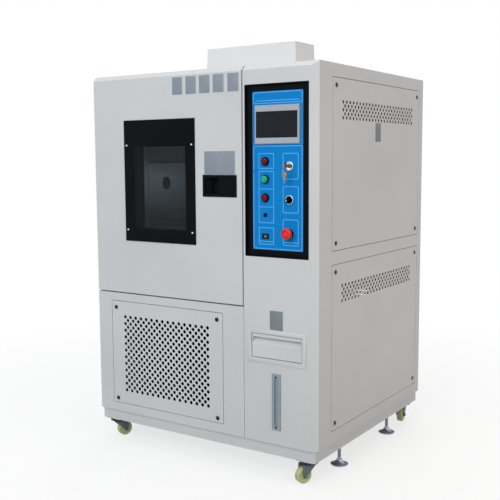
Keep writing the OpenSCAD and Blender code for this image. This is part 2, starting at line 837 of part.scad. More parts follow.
// Hermetic compressor on its feet
module compressor() {
    r = 85;
    h = 190;
    dome = 30;
    cx = in_x1 - 80;
    cy = foam_back - 190;
    z0 = z_foot + deck_t + 12;
    color(dark) {
        translate([cx, cy, z0]) rotate_extrude($fn = 64) polygon(concat(
            [[0, 0], [r - 12, 0], [r, 12]],
            [for (a = [0 : 10 : 80]) [r - dome * (1 - cos(a)), h - dome + dome * sin(a)]],
            [[0, h]]));
        for (a = [45 : 90 : 315])
            translate([cx, cy, 0]) rotate([0, 0, a]) {
                block([r - 30, -14, z_foot + deck_t + 8], [r + 22, 14, z_foot + deck_t + 13]);
                rod_z(9, z_foot + deck_t, z_foot + deck_t + 8.5, r + 10, 0);
            }
        rod_z(12, z0 + h - 10, z0 + h + 30, cx - 30, cy);
    }
    color(copper) for (s = [-1, 1])
        rod_z(5, z0 + h - 20, z0 + h + 60, cx + 20, cy + s * 30);
}

// Condenser coil behind the grille, with the fan's shroud and motor
module condenser() {
    x0 = gri_x0 + 30;
    x1 = gri_x1 - 30;
    z0 = z_foot + deck_t;
    z1 = gri_z1 - 20;
    fins = 22;
    color(steel) {
        for (k = [0 : fins - 1])
            translate([x0 + k * (x1 - x0) / (fins - 1), coil_y0 + coil_t / 2, (z0 + z1) / 2])
                cube([1.2, coil_t, z1 - z0], center = true);
        for (z = [z0, z1 - 2])
            block([x0 - 8, coil_y0, z], [x1 + 8, coil_y0 + coil_t, z + 2]);
        for (x = [x0 - 8, x1 + 6])
            block([x, coil_y0, z0], [x + 2, coil_y0 + coil_t, z1]);
        difference() {
            block([x0 - 8, shroud_y, z0], [x1 + 8, shroud_y + 2, z1]);
            rod_y(cfan_r + 6, shroud_y - 1, shroud_y + 3, cfan_x, cfan_z);
        }
        difference() {
            rod_y(cfan_r + 8, shroud_y, shroud_y + 22, cfan_x, cfan_z);
            rod_y(cfan_r + 6, shroud_y - 1, shroud_y + 23, cfan_x, cfan_z);
        }
    }
    color(copper) for (i = [0 : 5])
        rod_x(5, x0 - 8, x1 + 8, coil_y0 + coil_t / 2, z0 + 30 + i * (z1 - z0 - 60) / 5);
    color(dark) {
        rod_y(36, motor_y, motor_y + 70, cfan_x, cfan_z);
        rod_y(4, shroud_y + 8, motor_y + 1, cfan_x, cfan_z);
        block([cfan_x - 18, motor_y + 20, z0], [cfan_x + 18, motor_y + 24, cfan_z]);
        block([cfan_x - 18, motor_y + 20, z0], [cfan_x + 18, motor_y + 90, z0 + 3]);
    }
}

// Water tank behind the gauge, and the boiler that makes the steam
module humidifier() {
    tx0 = frame_x + 12;
    tx1 = x_right - rebate - 20;
    ty0 = front_d;
    ty1 = ty0 + tray_l;
    tz0 = z_foot + deck_t;
    tz1 = drw_z0 - 26;
    wall = 3;
    bx = (tx0 + tx1) / 2;
    by = ty1 + 110;
    boiler_r = 55;
    color([0.9, 0.9, 0.88]) difference() {
        block([tx0, ty0, tz0], [tx1, ty1, tz1]);
        block([tx0 + wall, ty0 + wall, tz0 + wall], [tx1 - wall, ty1 - wall, tz1 - wall]);
        rod_z(14, tz1 - wall - 1, tz1 + 1, pan_cx, ty0 + 60);
    }
    color(steel) {
        rod_z(boiler_r, tz0, tz0 + 250, bx, by);
        rod_z(boiler_r + 8, tz0 + 250, tz0 + 256, bx, by);
        rod_z(9, tz0 + 250, tz0 + 320, bx, by);
        rod_y(6, ty1 - wall - 1, by - boiler_r + 4, bx, tz0 + 40);
    }
}

// Water level gauge: a plate, its tube and two screws
module level_gauge() {
    tube_r = 5;
    color([0.55, 0.58, 0.60]) difference() {
        block([pan_cx - gauge_w / 2, -gauge_t, gau_z0], [pan_cx + gauge_w / 2, 0, gau_z1]);
        block([pan_cx - 6, -gauge_t - 1, gau_z0 + 16], [pan_cx + 6, 1, gau_z1 - 16]);
    }
    color([0.75, 0.82, 0.85]) rod_z(tube_r, gau_z0 + 16, gau_z1 - 16, pan_cx, tube_r - gauge_t + 0.5);
    color(zinc) for (z = [gau_z0 + 8, gau_z1 - 8])
        rod_y(3.5, -gauge_t - 1.5, -gauge_t, pan_cx, z);
}

// Plate with the contactors and terminals, on the wall beside the column
module electrical_plate() {
    x0 = frame_x;
    y0 = front_d + 60;
    y1 = foam_back - 60;
    z0 = high_side_z0 + 30;
    z1 = z_top - 90;
    color(zinc) {
        for (y = [y0 + 20, y1 - 20], z = [z0 + 20, z1 - 20]) rod_x(6, x0, x0 + 12.5, y, z);
        block([x0 + 12, y0, z0], [x0 + 14, y1, z1]);
        for (z = [z0 + 90, z0 + 210, z0 + 330]) block([x0 + 14, y0 + 40, z - 17], [x0 + 21, y1 - 40, z + 17]);
    }
    color(dark) for (z = [z0 + 90, z0 + 210, z0 + 330], k = [0 : 5])
        block([x0 + 21, y0 + 60 + k * 70, z - 38], [x0 + 86, y0 + 106 + k * 70, z + 38]);
}

// Dark tray that frames the blue control panel
module control_surround() {
    wall = 2;
    lip = 5;
    color(dark) difference() {
        union() {
            block([sur_x0, 0, sur_z0], [sur_x1, surround_back, sur_z1]);
            block([sur_x0 - lip, sheet, sur_z0 - lip], [sur_x1 + lip, sheet + wall, sur_z1 + lip]);
        }
        block([sur_x0 + wall, -1, sur_z0 + wall], [sur_x1 - wall, surround_floor, sur_z1 - wall]);
        switch_holes();
    }
}

module switch_holes() {
    for (p = [[left_sw, lamp_z], [left_sw, start_z], [left_sw, buzzer_z], [right_sw, key_z],
        [right_sw, selector_z], [right_sw, stop_z]])
        rod_y(switch_hole / 2, panel_depth - 1, surround_back + 1, p[0], p[1]);
}

module control_panel() {
    color(panel_blue) difference() {
        block([sur_x0 + panel_side, panel_depth, pan_z0], [sur_x1 - panel_side, surround_floor, pan_z1]);
        switch_holes();
    }
    color(zinc) for (s = [-1, 1])
        rod_y(4, panel_depth - 1.5, panel_depth, pan_cx + s * (surround_w / 2 - panel_side - 5.5),
            (pan_z0 + pan_z1) / 2);
}

// Housing of the touch screen, with the seat of its glass
module touch_screen() {
    x0 = pan_cx - screen_w / 2;
    edge = 2.5;
    color(bezel_grey) difference() {
        intersection() {
            translate([0, 0, screen_z0]) linear_extrude(screen_h) polygon([[x0, panel_depth],
                [x0, screen_front + edge], [x0 + edge, screen_front], [x0 + screen_w - edge, screen_front],
                [x0 + screen_w, screen_front + edge], [x0 + screen_w, panel_depth]]);
            translate([x0, 0, screen_z0]) rotate([90, 0, 90]) linear_extrude(screen_w) polygon([
                [panel_depth, 0], [screen_front + edge, 0], [screen_front, edge],
                [screen_front, screen_h - edge], [screen_front + edge, screen_h], [panel_depth, screen_h]]);
        }
        block([pan_cx - glass_w / 2, screen_front - 1, screen_z1 - glass_head - glass_h],
            [pan_cx + glass_w / 2, screen_front + 1.5, screen_z1 - glass_head]);
    }
}

module screen_glass() {
    color([0.05, 0.06, 0.08])
        block([pan_cx - glass_w / 2, screen_front + 0.6, screen_z1 - glass_head - glass_h],
        [pan_cx + glass_w / 2, screen_front + 1.5, screen_z1 - glass_head]);
}

// Lens of the red lamp and cap of the buzzer
module indicator_lens(z) {
    translate([left_sw, panel_depth, z]) rotate([90, 0, 0]) rotate_extrude() polygon(concat(
        [[0, 0], [11, 0], [11, 9]],
        [for (a = [15 : 15 : 75]) [8 + 3 * cos(a), 9 + 3 * sin(a)]],
        [[8, 12], [0, 12]]));
}

module indicator_heads() {
    color([0.45, 0.05, 0.08]) indicator_lens(lamp_z);
    color([0.25, 0.10, 0.08]) indicator_lens(buzzer_z);
}

// Rings and barrels of the switches, with the jack and the data port
module switch_barrel(x, z, bore, inner) {
    difference() {
        union() {
            rod_y(ring_d / 2, ring_front, panel_depth, x, z);
            rod_y(switch_hole / 2 - 0.1, panel_depth - 0.01, barrel_back, x, z);
            rod_y(ring_d / 2 - 1, surround_back, surround_back + 5, x, z);
        }
        rod_y(inner, ring_front - 1, panel_depth, x, z);
        if (bore > 0) rod_y(bore + play, panel_depth - 1, barrel_back - 6, x, z);
    }
}

module switch_bodies() {
    color(zinc) {
        switch_barrel(left_sw, lamp_z, 0, 11);
        switch_barrel(left_sw, start_z, 4, 12);
        switch_barrel(left_sw, buzzer_z, 0, 11);
        switch_barrel(right_sw, key_z, 7, 9);
        switch_barrel(right_sw, selector_z, 6, 12);
        switch_barrel(right_sw, stop_z, 8, 8 + play);
    }
    color(dark) {
        difference() {
            rod_y(7, panel_depth - 2, panel_depth, left_sw, jack_z);
            rod_y(4, panel_depth - 3, panel_depth - 0.5, left_sw, jack_z);
        }
        difference() {
            block([left_sw - 13, panel_depth - 2.5, port_z - 9], [left_sw + 13, panel_depth, port_z + 9]);
            block([left_sw - 7, panel_depth - 3, port_z - 5], [left_sw + 7, panel_depth - 0.5, port_z + 5]);
        }
    }
}

// Lift-off hinges: the cabinet's half holds the pin and the door's half sits on it
module hinge_half(z, up, leaf_y0, leaf_y1) {
    z0 = up ? z + knuckle_gap / 2 : z - hinge_len / 2;
    z1 = up ? z + hinge_len / 2 : z - knuckle_gap / 2;
    union() {
        rod_z(hinge_r, z0, z1, hinge_x, hinge_y);
        block([x_left - hinge_leaf, leaf_y0, z0], [x_left, leaf_y1, z1]);
    }
}

module hinge_heights() {
    for (z = [door_foot + hinge_inset, z_top - hinge_inset]) translate([0, 0, z]) children();
}

module cabinet_hinges() {
    color(zinc) hinge_heights() {
        hinge_half(0, false, hinge_y, hinge_y + 44);
        rod_z(hinge_pin_r, -knuckle_gap, hinge_len / 2 - 6, hinge_x, hinge_y);
    }
}

module door_hinges() {
    color(zinc) hinge_heights() difference() {
        hinge_half(0, true, hinge_y - 54, hinge_y - 1);
        rod_z(hinge_pin_r + play, -1, hinge_len / 2 - 4, hinge_x, hinge_y);
    }
}

// Cable port through the left wall: flange, sleeve and rubber plug
module cable_port() {
    color(steel) difference() {
        union() {
            rod_x(port_r + 1, x_left, in_x0, port_y, door_cz);
            rod_x(port_r + 14, x_left - 2, x_left, port_y, door_cz);
        }
        rod_x(port_r, x_left - 3, in_x0 + 1, port_y, door_cz);
    }
    color(dark) {
        rod_x(port_r, x_left - 2, in_x0 - 4, port_y, door_cz);
        rod_x(port_r + 7, x_left - 12, x_left - 2, port_y, door_cz);
    }
}

// Door: painted skin, filled inner pan, gasket
module door_skin() {
    color(paint) difference() {
        bevelled_pan(x_left, door_x, door_foot, z_top, door_t, hinge_bevel, 0, bevel);
        block([win_x0, -1, win_z0], [win_x1, sheet + 1, win_z1]);
        block([han_x0 + flange - tray_t, -1, han_z - handle_h / 2 + flange - tray_t],
            [han_x1 - flange + tray_t, sheet + 1, han_z + handle_h / 2 - flange + tray_t]);
    }
}

// Size of the step that fills the mouth of the chamber, less a margin on every side
module door_step(y0, y1, margin) {
    block([in_x0 + plug_gap + margin, y0, in_z0 + plug_gap + margin],
        [in_x1 - plug_gap - margin, y1, in_z1 - plug_gap - margin]);
}

// Tunnel of the window through the slab, from y0 to y1, grown by a margin
module window_tunnel(y0, y1, margin) {
    block([view_x0 - margin, y0, view_z0 - margin], [view_x1 + margin, y1, view_z1 + margin]);
}

module door_foam() {
    color(foam_tone) difference() {
        union() {
            bevelled_slab(x_left + sheet, door_x - sheet, door_foot + sheet, z_top - sheet, sheet,
                door_t - liner_t, inner_bevel(hinge_bevel), 0, inner_bevel(bevel));
            door_step(door_t - 2 * liner_t, door_t + plug_t - liner_t, liner_t);
        }
        block([win_x0, 0, win_z0], [win_x1, plate_back, win_z1]);
        window_tunnel(0, front_d + plug_t, tunnel_t);
        block([han_x0 + flange - tray_t, 0, han_z - handle_h / 2 + flange - tray_t],
            [han_x1 - flange + tray_t, bowl_d + tray_t, han_z + handle_h / 2 - flange + tray_t]);
    }
}

// Stainless inner pan of the door: its rim, its step and the bright end of the window tunnel
module door_pan() {
    color(steel) {
        difference() {
            union() {
                block([x_left + sheet, door_t - liner_t, door_foot + sheet],
                    [door_x - sheet, door_t, z_top - sheet]);
                door_step(door_t - liner_t, door_t + plug_t, 0);
            }
            door_step(door_t - 3 * liner_t, door_t + plug_t - liner_t, liner_t);
            window_tunnel(0, front_d + plug_t, tunnel_t - 0.5);
        }
        difference() {
            window_tunnel(trim_y, door_t + plug_t, tunnel_t);
            window_tunnel(0, front_d + plug_t, 0);
        }
    }
}

// Gasket on the slab, round the step, with its rounded bead towards the cabinet
module door_gasket() {
    w = 16;
    x0 = in_x0 - w;
    x1 = in_x1 + w;
    z0 = in_z0 - w;
    z1 = in_z1 + w;
    color(dark) frame_plate(x0, x1, z0, z1, door_t, front_d - 0.4, w - 1);
}

// Black window plate, its seat tunnel and three panes
module window_frame() {
    color(dark) difference() {
        union() {
            block([win_x0, -plate_proud, win_z0], [win_x1, plate_back, win_z1]);
            window_tunnel(0, trim_y, tunnel_t);
        }
        window_tunnel(-plate_proud - 1, trim_y + 1, 0);
    }
    color(zinc) for (x = [win_x0 + 13.5, win_x1 - 13.5], z = [view_z0 - 6, view_z1 + 5])
        rod_y(4.3, -plate_proud - 1.5, -plate_proud, x, z);
}

module window_glass() {
    inner_y = door_t + plug_t - pane_t - 4;
    color([0.55, 0.65, 0.68]) for (y = [-plate_proud + 0.5, (door_t - pane_t) / 2, inner_y])
        window_tunnel(y, y + pane_t, 0);
}

// Recessed handle: flange and bowl
module handle_tray() {
    z0 = han_z - handle_h / 2;
    z1 = han_z + handle_h / 2;
    x0 = han_x0 + flange;
    x1 = han_x1 - flange;
    color(dark) difference() {
        union() {
            block([han_x0, -2, z0], [han_x1, 0, z1]);
            block([x0 - tray_t, -1, z0 + flange - tray_t],
                [x1 + tray_t, bowl_d + tray_t, z1 - flange + tray_t]);
        }
        translate([0, 0, z0 + flange]) linear_extrude(handle_h - 2 * flange) polygon([[x0, -3], [x1, -3],
            [x1, bowl_d], [x0 + bowl_d * 0.7, bowl_d], [x0, 4]]);
        rod_z(paddle_pin_r + play, z0 + flange - tray_t + 0.5, z1 - flange + tray_t - 0.5, paddle_x, paddle_y);
    }
}

// Paddle that the fingers pull, on its own pin
module handle_paddle() {
    z0 = han_z - handle_h / 2 + flange + clear;
    z1 = han_z + handle_h / 2 - flange - clear;
    tip = 3;
    color(dark) {
        translate([0, 0, z0]) linear_extrude(z1 - z0) union() {
            translate([paddle_x, paddle_y]) circle(r = barrel_r);
            polygon([[paddle_x, paddle_front], [paddle_x, paddle_front + paddle_t],
                [paddle_x - paddle_l + tip, paddle_front + paddle_t + 5],
                [paddle_x - paddle_l, paddle_front + paddle_t + 3], [paddle_x - paddle_l, paddle_front + tip],
                [paddle_x - paddle_l + tip, paddle_front]]);
        }
        rod_z(paddle_pin_r, z0 - clear - 1.5, z1 + clear + 1.5, paddle_x, paddle_y);
    }
}

// Cable loop from the door's side to the ring on the front below it
module door_cable() {
    x0 = x_left - cable_ring - cable_gap;
    color(dark) {
        translate([x0, cable_y, cable_z]) rotate([90, 0, 0]) difference() {
            rotate_extrude() translate([cable_bend, 0]) circle(r = cable_r, $fn = 24);
            translate([0, -60, -20]) cube([60, 120, 40]);
        }
        rod_x(cable_r + 3, x0 - 0.2, x_left, cable_y, cable_z + cable_bend);
    }
}

// Moving parts of the switches
module start_button() {
    color([0.15, 0.75, 0.55]) {
        translate([left_sw, ring_front + 0.5, start_z]) rotate([90, 0, 0]) rotate_extrude() polygon(concat(
            [[0, 0], [11.4, 0], [11.4, 6]],
            [for (a = [15 : 15 : 75]) [8.4 + 3 * cos(a), 6 + 3 * sin(a)]],
            [[8.4, 9], [0, 9]]));
        rod_y(4, ring_front, barrel_back - 6 - start_travel - clear, left_sw, start_z);
    }
}

module stop_mushroom() {
    r = mushroom_d / 2;
    h = 15;
    color([0.88, 0.20, 0.18]) {
        translate([right_sw, stop_front + h, stop_z]) rotate([90, 0, 0])
            rotate_extrude($fn = 64) polygon(concat([[0, 0], [r - 2, 0], [r, 3], [r, 9]],
            [for (a = [15 : 15 : 75]) [r - 6 + 6 * cos(a), 9 + 6 * sin(a)]],
            [[r - 6, h], [0, h]]));
        rod_y(8, stop_front + h - 1, barrel_back - 6 - stop_travel - clear, right_sw, stop_z);
    }
}

module switch_key() {
    plug_front = ring_front - 1;
    bow_y = plug_front - key_reach;
    color(zinc) {
        rod_y(7, plug_front, barrel_back - 7, right_sw, key_z);
        block([right_sw - 1, bow_y, key_z - 4], [right_sw + 1, plug_front + 1, key_z + 4]);
        difference() {
            block([right_sw - 1, key_front, key_z - 12], [right_sw + 1, bow_y, key_z + 12]);
            rod_x(3, right_sw - 2, right_sw + 2, bow_y - 12, key_z - 7);
        }
    }
}

module selector_knob() {
    color(dark) {
        rod_y(6, ring_front, barrel_back - 7, right_sw, selector_z);
        rod_y(11.4, ring_front - 3, panel_depth - clear, right_sw, selector_z);
        translate([right_sw, ring_front - 16, selector_z]) rotate([0, 45, 0])
            block([-4.5, 0, -11], [4.5, 14, 11]);
    }
}

// Drawer front with its finger scoop, and the filling tray behind it
module water_drawer() {
    z0 = drw_z0;
    z1 = drw_z1;
    t = front_t;
    wall = 3;
    color(paint) translate([drw_x0, 0, 0]) rotate([90, 0, 90]) linear_extrude(drawer_w) polygon([
        [0, z0], [0, z1 - scoop_h], [scoop_d, z1 - ledge_h - 6], [scoop_d, z1 - ledge_h], [0, z1 - ledge_h],
        [0, z1], [t, z1], [t, z0]]);
    color(paint) for (x = [drw_x0, drw_x1 - wall])
        block([x, 0, z1 - scoop_h - 1], [x + wall, t, z1]);
    color([0.9, 0.9, 0.88]) difference() {
        block([drw_x0 + tray_side, t - 1, z0 + tray_lift], [drw_x1 - tray_side, tray_l, z1 - 8]);
        block([drw_x0 + tray_side + wall, t, z0 + tray_lift + wall],
            [drw_x1 - tray_side - wall, tray_l - wall, z1]);
    }
}

// Fan wheel at the top of the duct, with its shaft
module circulation_fan() {
    r = 62;
    h = 52;
    blades = 14;
    z0 = in_z1 - 24 - h;
    color(steel) translate([door_cx, fan_y, z0]) {
        difference() {
            cylinder(r = r, h = 3);
            translate([0, 0, -1]) cylinder(r = 38, h = 5);
        }
        translate([0, 0, h - 3]) cylinder(r = r, h = 3);
        translate([0, 0, h - 26]) cylinder(r = 16, h = 26);
        for (a = [0 : 360 / blades : 359])
            rotate([0, 0, a]) translate([r - 20, 0, 1]) rotate([0, 0, 32]) cube([18, 1.5, h - 2]);
    }
    color(zinc) rod_z(shaft_r, z0 + h - 26, z_top + 59, door_cx, fan_y);
}

module condenser_fan() {
    blades = 5;
    color(dark) translate([cfan_x, cfan_y, cfan_z]) rotate([90, 0, 0]) difference() {
        union() {
            cylinder(r = 38, h = 22, center = true);
            for (a = [0 : 360 / blades : 359])
                rotate([0, 0, a]) translate([34, 0, 0]) rotate([28, 0, 0])
                    linear_extrude(2, center = true) intersection() {
                        translate([0, -30]) square([cfan_r - 44, 60]);
                        translate([-34, 0]) circle(r = cfan_r - 10);
                    }
        }
        cylinder(r = 4 + play, h = 60, center = true);
    }
}

// Casters: the fork turns on its kingpin, the wheel turns on the fork's axle
module at_caster(sx, y, turn) {
    placed() translate([sx * caster_x, y, 0]) rotate([0, 0, turn]) children();
}

module caster_fork() {
    leg_top = fork_top - 9;
    fork_half = swivel_r - 5;
    eye_r = 9.5;
    color(dark) {
        rod_z(swivel_r, leg_top, fork_top, 0, 0);
        rod_z(kingpin_r, leg_top, ground_gap + 1.5, 0, 0);
    }
    color(zinc) {
        for (s = [-1, 1]) translate([0, s * (fork_in + fork_t / 2), 0]) rotate([90, 0, 0])
            linear_extrude(fork_t, center = true) union() {
                polygon([[-fork_half, leg_top + 1], [trail + eye_r, leg_top + 1], [trail + eye_r, wheel_r],
                    [trail - eye_r, wheel_r]]);
                translate([trail, wheel_r]) circle(r = eye_r);
            }
        block([-fork_half, -fork_in - fork_t, leg_top - 2], [fork_half, fork_in + fork_t, leg_top + 1]);
        rod_y(axle_r, -fork_in - fork_t - 3, fork_in + fork_t + 3, trail, wheel_r);
        for (s = [-1, 1]) translate([trail, s * (fork_in + fork_t + 2), wheel_r]) rotate([90, 0, 0])
            cylinder(r = 6.5, h = 4, center = true, $fn = 6);
    }
}

module caster_wheel() {
    w = wheel_w / 2;
    color(wheel_tone) translate([trail, 0, wheel_r]) rotate([90, 0, 0]) rotate_extrude($fn = 64)
        polygon(concat(
            [[axle_r + play, -w - 0.8], [9, -w - 0.8], [9, -w + 2], [wheel_r - 8, -w + 2], [wheel_r - 6, -w]],
            [for (a = [-75 : 25 : 75]) [wheel_r - 3 + 3 * cos(a), (w - 3) * sign(a) + 3 * sin(a)]],
            [[wheel_r - 6, w], [wheel_r - 8, w - 2], [9, w - 2], [9, w + 0.8], [axle_r + play, w + 0.8]]));
}

// Levelling foot: a bell-shaped base on a threaded rod
module levelling_foot(sx, y) {
    r = foot_d / 2;
    neck = rod_d / 2 + 3;
    color(dark) translate([sx * foot_x, y, 0]) rotate_extrude($fn = 64) polygon(concat(
        [[0, 0], [r - 2, 0], [r, 2], [r, 5]],
        [for (k = [1 : 7]) [neck + (r - neck) * pow(1 - k / 8, 2), 5 + (foot_h - 5) * k / 8]],
        [[neck, foot_h], [rod_d / 2, foot_h], [rod_d / 2, ground_gap + plinth_wall + foot_nut + 2],
            [0, ground_gap + plinth_wall + foot_nut + 2]]));
}

module placed() {
    translate([shift_x, shift_y, 0]) children();
}

placed() base_frame();
placed() inner_frame();
placed() casing_wrap();
placed() right_frame();
placed() side_panels();
placed() rear_panel();
placed() service_fittings();
placed() column_front();
placed() lower_front();
placed() front_grille();
placed() panel_screws();
placed() inner_liner();
placed() insulation();
placed() wire_shelves();
placed() air_baffle();
placed() duct_coils();
placed() fan_motor();
placed() motor_cover();
placed() compressor();
placed() condenser();
placed() humidifier();
placed() level_gauge();
placed() electrical_plate();
placed() control_surround();
placed() control_panel();
placed() touch_screen();
placed() screen_glass();
placed() indicator_heads();
placed() switch_bodies();
placed() cabinet_hinges();
placed() cable_port();
placed() door_skin();
placed() door_foam();
placed() door_pan();
placed() door_gasket();
placed() window_frame();
placed() window_glass();
placed() handle_tray();
placed() door_hinges();
placed() door_cable();
placed() handle_paddle();
placed() start_button();
placed() stop_mushroom();
placed() switch_key();
placed() selector_knob();
placed() water_drawer();
placed() circulation_fan();
placed() condenser_fan();
at_caster(-1, caster_end, turn_front_left) caster_fork();  // fork_front_left
at_caster(1, caster_end, turn_front_right) caster_fork();  // fork_front_right
at_caster(-1, body_d - caster_end, turn_rear_left) caster_fork();  // fork_rear_left
at_caster(1, body_d - caster_end, turn_rear_right) caster_fork();  // fork_rear_right
at_caster(-1, caster_end, turn_front_left) caster_wheel();  // wheel_front_left
at_caster(1, caster_end, turn_front_right) caster_wheel();  // wheel_front_right
at_caster(-1, body_d - caster_end, turn_rear_left) caster_wheel();  // wheel_rear_left
at_caster(1, body_d - caster_end, turn_rear_right) caster_wheel();  // wheel_rear_right
placed() levelling_foot(-1, foot_end);  // foot_front_left
placed() levelling_foot(1, foot_end);  // foot_front_right
placed() levelling_foot(-1, body_d - foot_end);  // foot_rear_left
placed() levelling_foot(1, body_d - foot_end);  // foot_rear_right
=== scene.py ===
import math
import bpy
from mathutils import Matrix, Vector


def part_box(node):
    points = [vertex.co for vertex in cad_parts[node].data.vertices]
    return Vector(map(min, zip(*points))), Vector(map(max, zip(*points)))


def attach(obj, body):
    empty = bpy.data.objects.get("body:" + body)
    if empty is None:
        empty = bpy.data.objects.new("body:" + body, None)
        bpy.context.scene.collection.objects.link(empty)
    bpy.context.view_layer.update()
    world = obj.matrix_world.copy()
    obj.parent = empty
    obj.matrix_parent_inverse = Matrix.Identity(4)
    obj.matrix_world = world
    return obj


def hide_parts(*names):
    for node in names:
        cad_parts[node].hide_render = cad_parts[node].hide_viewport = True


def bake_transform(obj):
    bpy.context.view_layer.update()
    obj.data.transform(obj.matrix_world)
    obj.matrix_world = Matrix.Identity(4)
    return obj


bl_info = {
    "name": "Environmental Test Chamber",
    "version": (1, 0, 0),
    "blender": (4, 5, 0),
    "location": "View3D > Sidebar > Test Chamber",
    "description": "Dresses the packed environmental test chamber with its finishes and fine pieces",
    "category": "Object",
}

from contextlib import contextmanager

import bpy
from mathutils import Matrix, Vector

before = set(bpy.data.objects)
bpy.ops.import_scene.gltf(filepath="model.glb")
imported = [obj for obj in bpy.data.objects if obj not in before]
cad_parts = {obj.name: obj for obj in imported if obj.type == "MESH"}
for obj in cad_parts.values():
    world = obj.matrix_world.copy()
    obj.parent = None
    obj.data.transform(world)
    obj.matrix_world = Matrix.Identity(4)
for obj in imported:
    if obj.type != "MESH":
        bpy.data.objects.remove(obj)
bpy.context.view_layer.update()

# The cabinet's own measures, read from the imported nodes
MM = 0.001
HALF_WIDTH = 475.0
DOOR_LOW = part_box("door_skin")[0]
PANEL_LOW, PANEL_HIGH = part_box("control_panel")
SCREEN_LOW, SCREEN_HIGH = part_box("touch_screen")
WINDOW_LOW, WINDOW_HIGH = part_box("window_frame")
GLASS_LOW, GLASS_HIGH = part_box("window_glass")
HANDLE_LOW, HANDLE_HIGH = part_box("handle_tray")
PAN_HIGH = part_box("door_pan")[1]
SEAL_LOW, SEAL_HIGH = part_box("door_gasket")
GAUGE_LOW, GAUGE_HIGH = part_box("level_gauge")
KEY_LOW, KEY_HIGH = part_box("switch_key")
KNOB_LOW, KNOB_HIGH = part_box("selector_knob")
STOP_LOW, STOP_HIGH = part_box("stop_mushroom")
START_LOW, START_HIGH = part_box("start_button")
LENS_LOW, LENS_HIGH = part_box("indicator_heads")
BODIES_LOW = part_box("switch_bodies")[0]
CABLE_LOW, CABLE_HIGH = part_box("door_cable")
DRAWER_LOW, DRAWER_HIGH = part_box("water_drawer")
SIDE_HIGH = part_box("side_panels")[1]
AXIS_X = DOOR_LOW.x + HALF_WIDTH * MM
FRONT_Y = DOOR_LOW.y


def at(x, y, z):
    """A place given in millimetres from the middle of the cabinet, the door's face and the floor."""
    return Vector((AXIS_X + x * MM, FRONT_Y + y * MM, z * MM))


def tone(red, green, blue):
    """A screen colour from 0 to 255 as linear light."""
    values = []
    for v in (red / 255, green / 255, blue / 255):
        values.append(v / 12.92 if v <= 0.04045 else ((v + 0.055) / 1.055) ** 2.4)
    return tuple(values)


class ChamberSizes(bpy.types.PropertyGroup):
    """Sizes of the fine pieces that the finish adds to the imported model"""

    line_width: bpy.props.FloatProperty(
        name="Printed line", description="Width of the light lines on the blue panel",
        default=0.0028, min=0.001, max=0.006, unit="LENGTH")
    line_height: bpy.props.FloatProperty(
        name="Line height", description="How far the printed lines stand off the panel",
        default=0.0004, min=0.0001, max=0.001, unit="LENGTH")
    plate_thickness: bpy.props.FloatProperty(
        name="Plate thickness", description="Thickness of the bare label plates",
        default=0.0006, min=0.0003, max=0.002, unit="LENGTH")
    plate_corner: bpy.props.FloatProperty(
        name="Plate corner", description="Corner radius of the bare label plates",
        default=0.002, min=0.0005, max=0.01, unit="LENGTH")
    bezel_radius: bpy.props.FloatProperty(
        name="Bezel radius", description="Radius of the bright and dark rings round the switches",
        default=0.0132, min=0.010, max=0.016, unit="LENGTH")
    bezel_round: bpy.props.FloatProperty(
        name="Bezel section", description="Radius of the rings' round section",
        default=0.0017, min=0.001, max=0.003, unit="LENGTH")
    bead_radius: bpy.props.FloatProperty(
        name="Seal bead", description="Radius of the round beads on the door seal",
        default=0.0021, min=0.001, max=0.003, unit="LENGTH")


class ChamberColours(bpy.types.PropertyGroup):
    """Colours of the finishes"""

    coat: bpy.props.FloatVectorProperty(
        name="Powder coat", description="Pale grey powder coat of the casing",
        subtype="COLOR", size=3, min=0, max=1, default=tone(212, 214, 215))
    coat_shade: bpy.props.FloatVectorProperty(
        name="Powder coat, shaded", description="Faintly darker tone that drifts through the powder coat",
        subtype="COLOR", size=3, min=0, max=1, default=tone(204, 206, 207))
    panel: bpy.props.FloatVectorProperty(
        name="Control panel", description="Blue film of the control panel",
        subtype="COLOR", size=3, min=0, max=1, default=tone(10, 134, 212))
    line: bpy.props.FloatVectorProperty(
        name="Printed line", description="Light blue lines on the control panel",
        subtype="COLOR", size=3, min=0, max=1, default=tone(92, 182, 246))
    black: bpy.props.FloatVectorProperty(
        name="Black plastic", description="Window plate, surround and handle",
        subtype="COLOR", size=3, min=0, max=1, default=tone(14, 15, 19))
    tread: bpy.props.FloatVectorProperty(
        name="Caster tread", description="Pale green-yellow wheels",
        subtype="COLOR", size=3, min=0, max=1, default=tone(196, 200, 150))
    plate: bpy.props.FloatVectorProperty(
        name="Bare plate", description="Silver film of the bare label plates",
        subtype="COLOR", size=3, min=0, max=1, default=tone(147, 156, 166))


# Shader nodes and groups

FLOAT, COLOUR, VECTOR = "NodeSocketFloat", "NodeSocketColor", "NodeSocketVector"


def add_node(tree, kind, **settings):
    """A new node with its settings."""
    node = tree.nodes.new(kind)
    for key, value in settings.items():
        setattr(node, key, value)
    return node


def feed(tree, node, values):
    """Links the sockets among the values to a node's inputs, and sets the inputs of the others."""
    for label, value in values.items():
        if isinstance(value, bpy.types.NodeSocket):
            tree.links.new(value, node.inputs[label])
        else:
            node.inputs[label].default_value = value
    return node


def empty_tree(owner):
    """The cleared node tree of a material or a world."""
    owner.use_nodes = True
    owner.node_tree.nodes.clear()
    return owner.node_tree


def object_place(tree):
    """The place on the piece itself."""
    return add_node(tree, "ShaderNodeTexCoord").outputs["Object"]


def along(tree, place, axis):
    """How far a place lies along X, Y or Z."""
    return feed(tree, add_node(tree, "ShaderNodeSeparateXYZ"), {"Vector": place}).outputs[axis]


def calc(tree, operation, *values, **settings):
    """The result of a sum on sockets and numbers."""
    node = add_node(tree, "ShaderNodeMath", operation=operation, **settings)
    return feed(tree, node, dict(enumerate(values))).outputs["Value"]


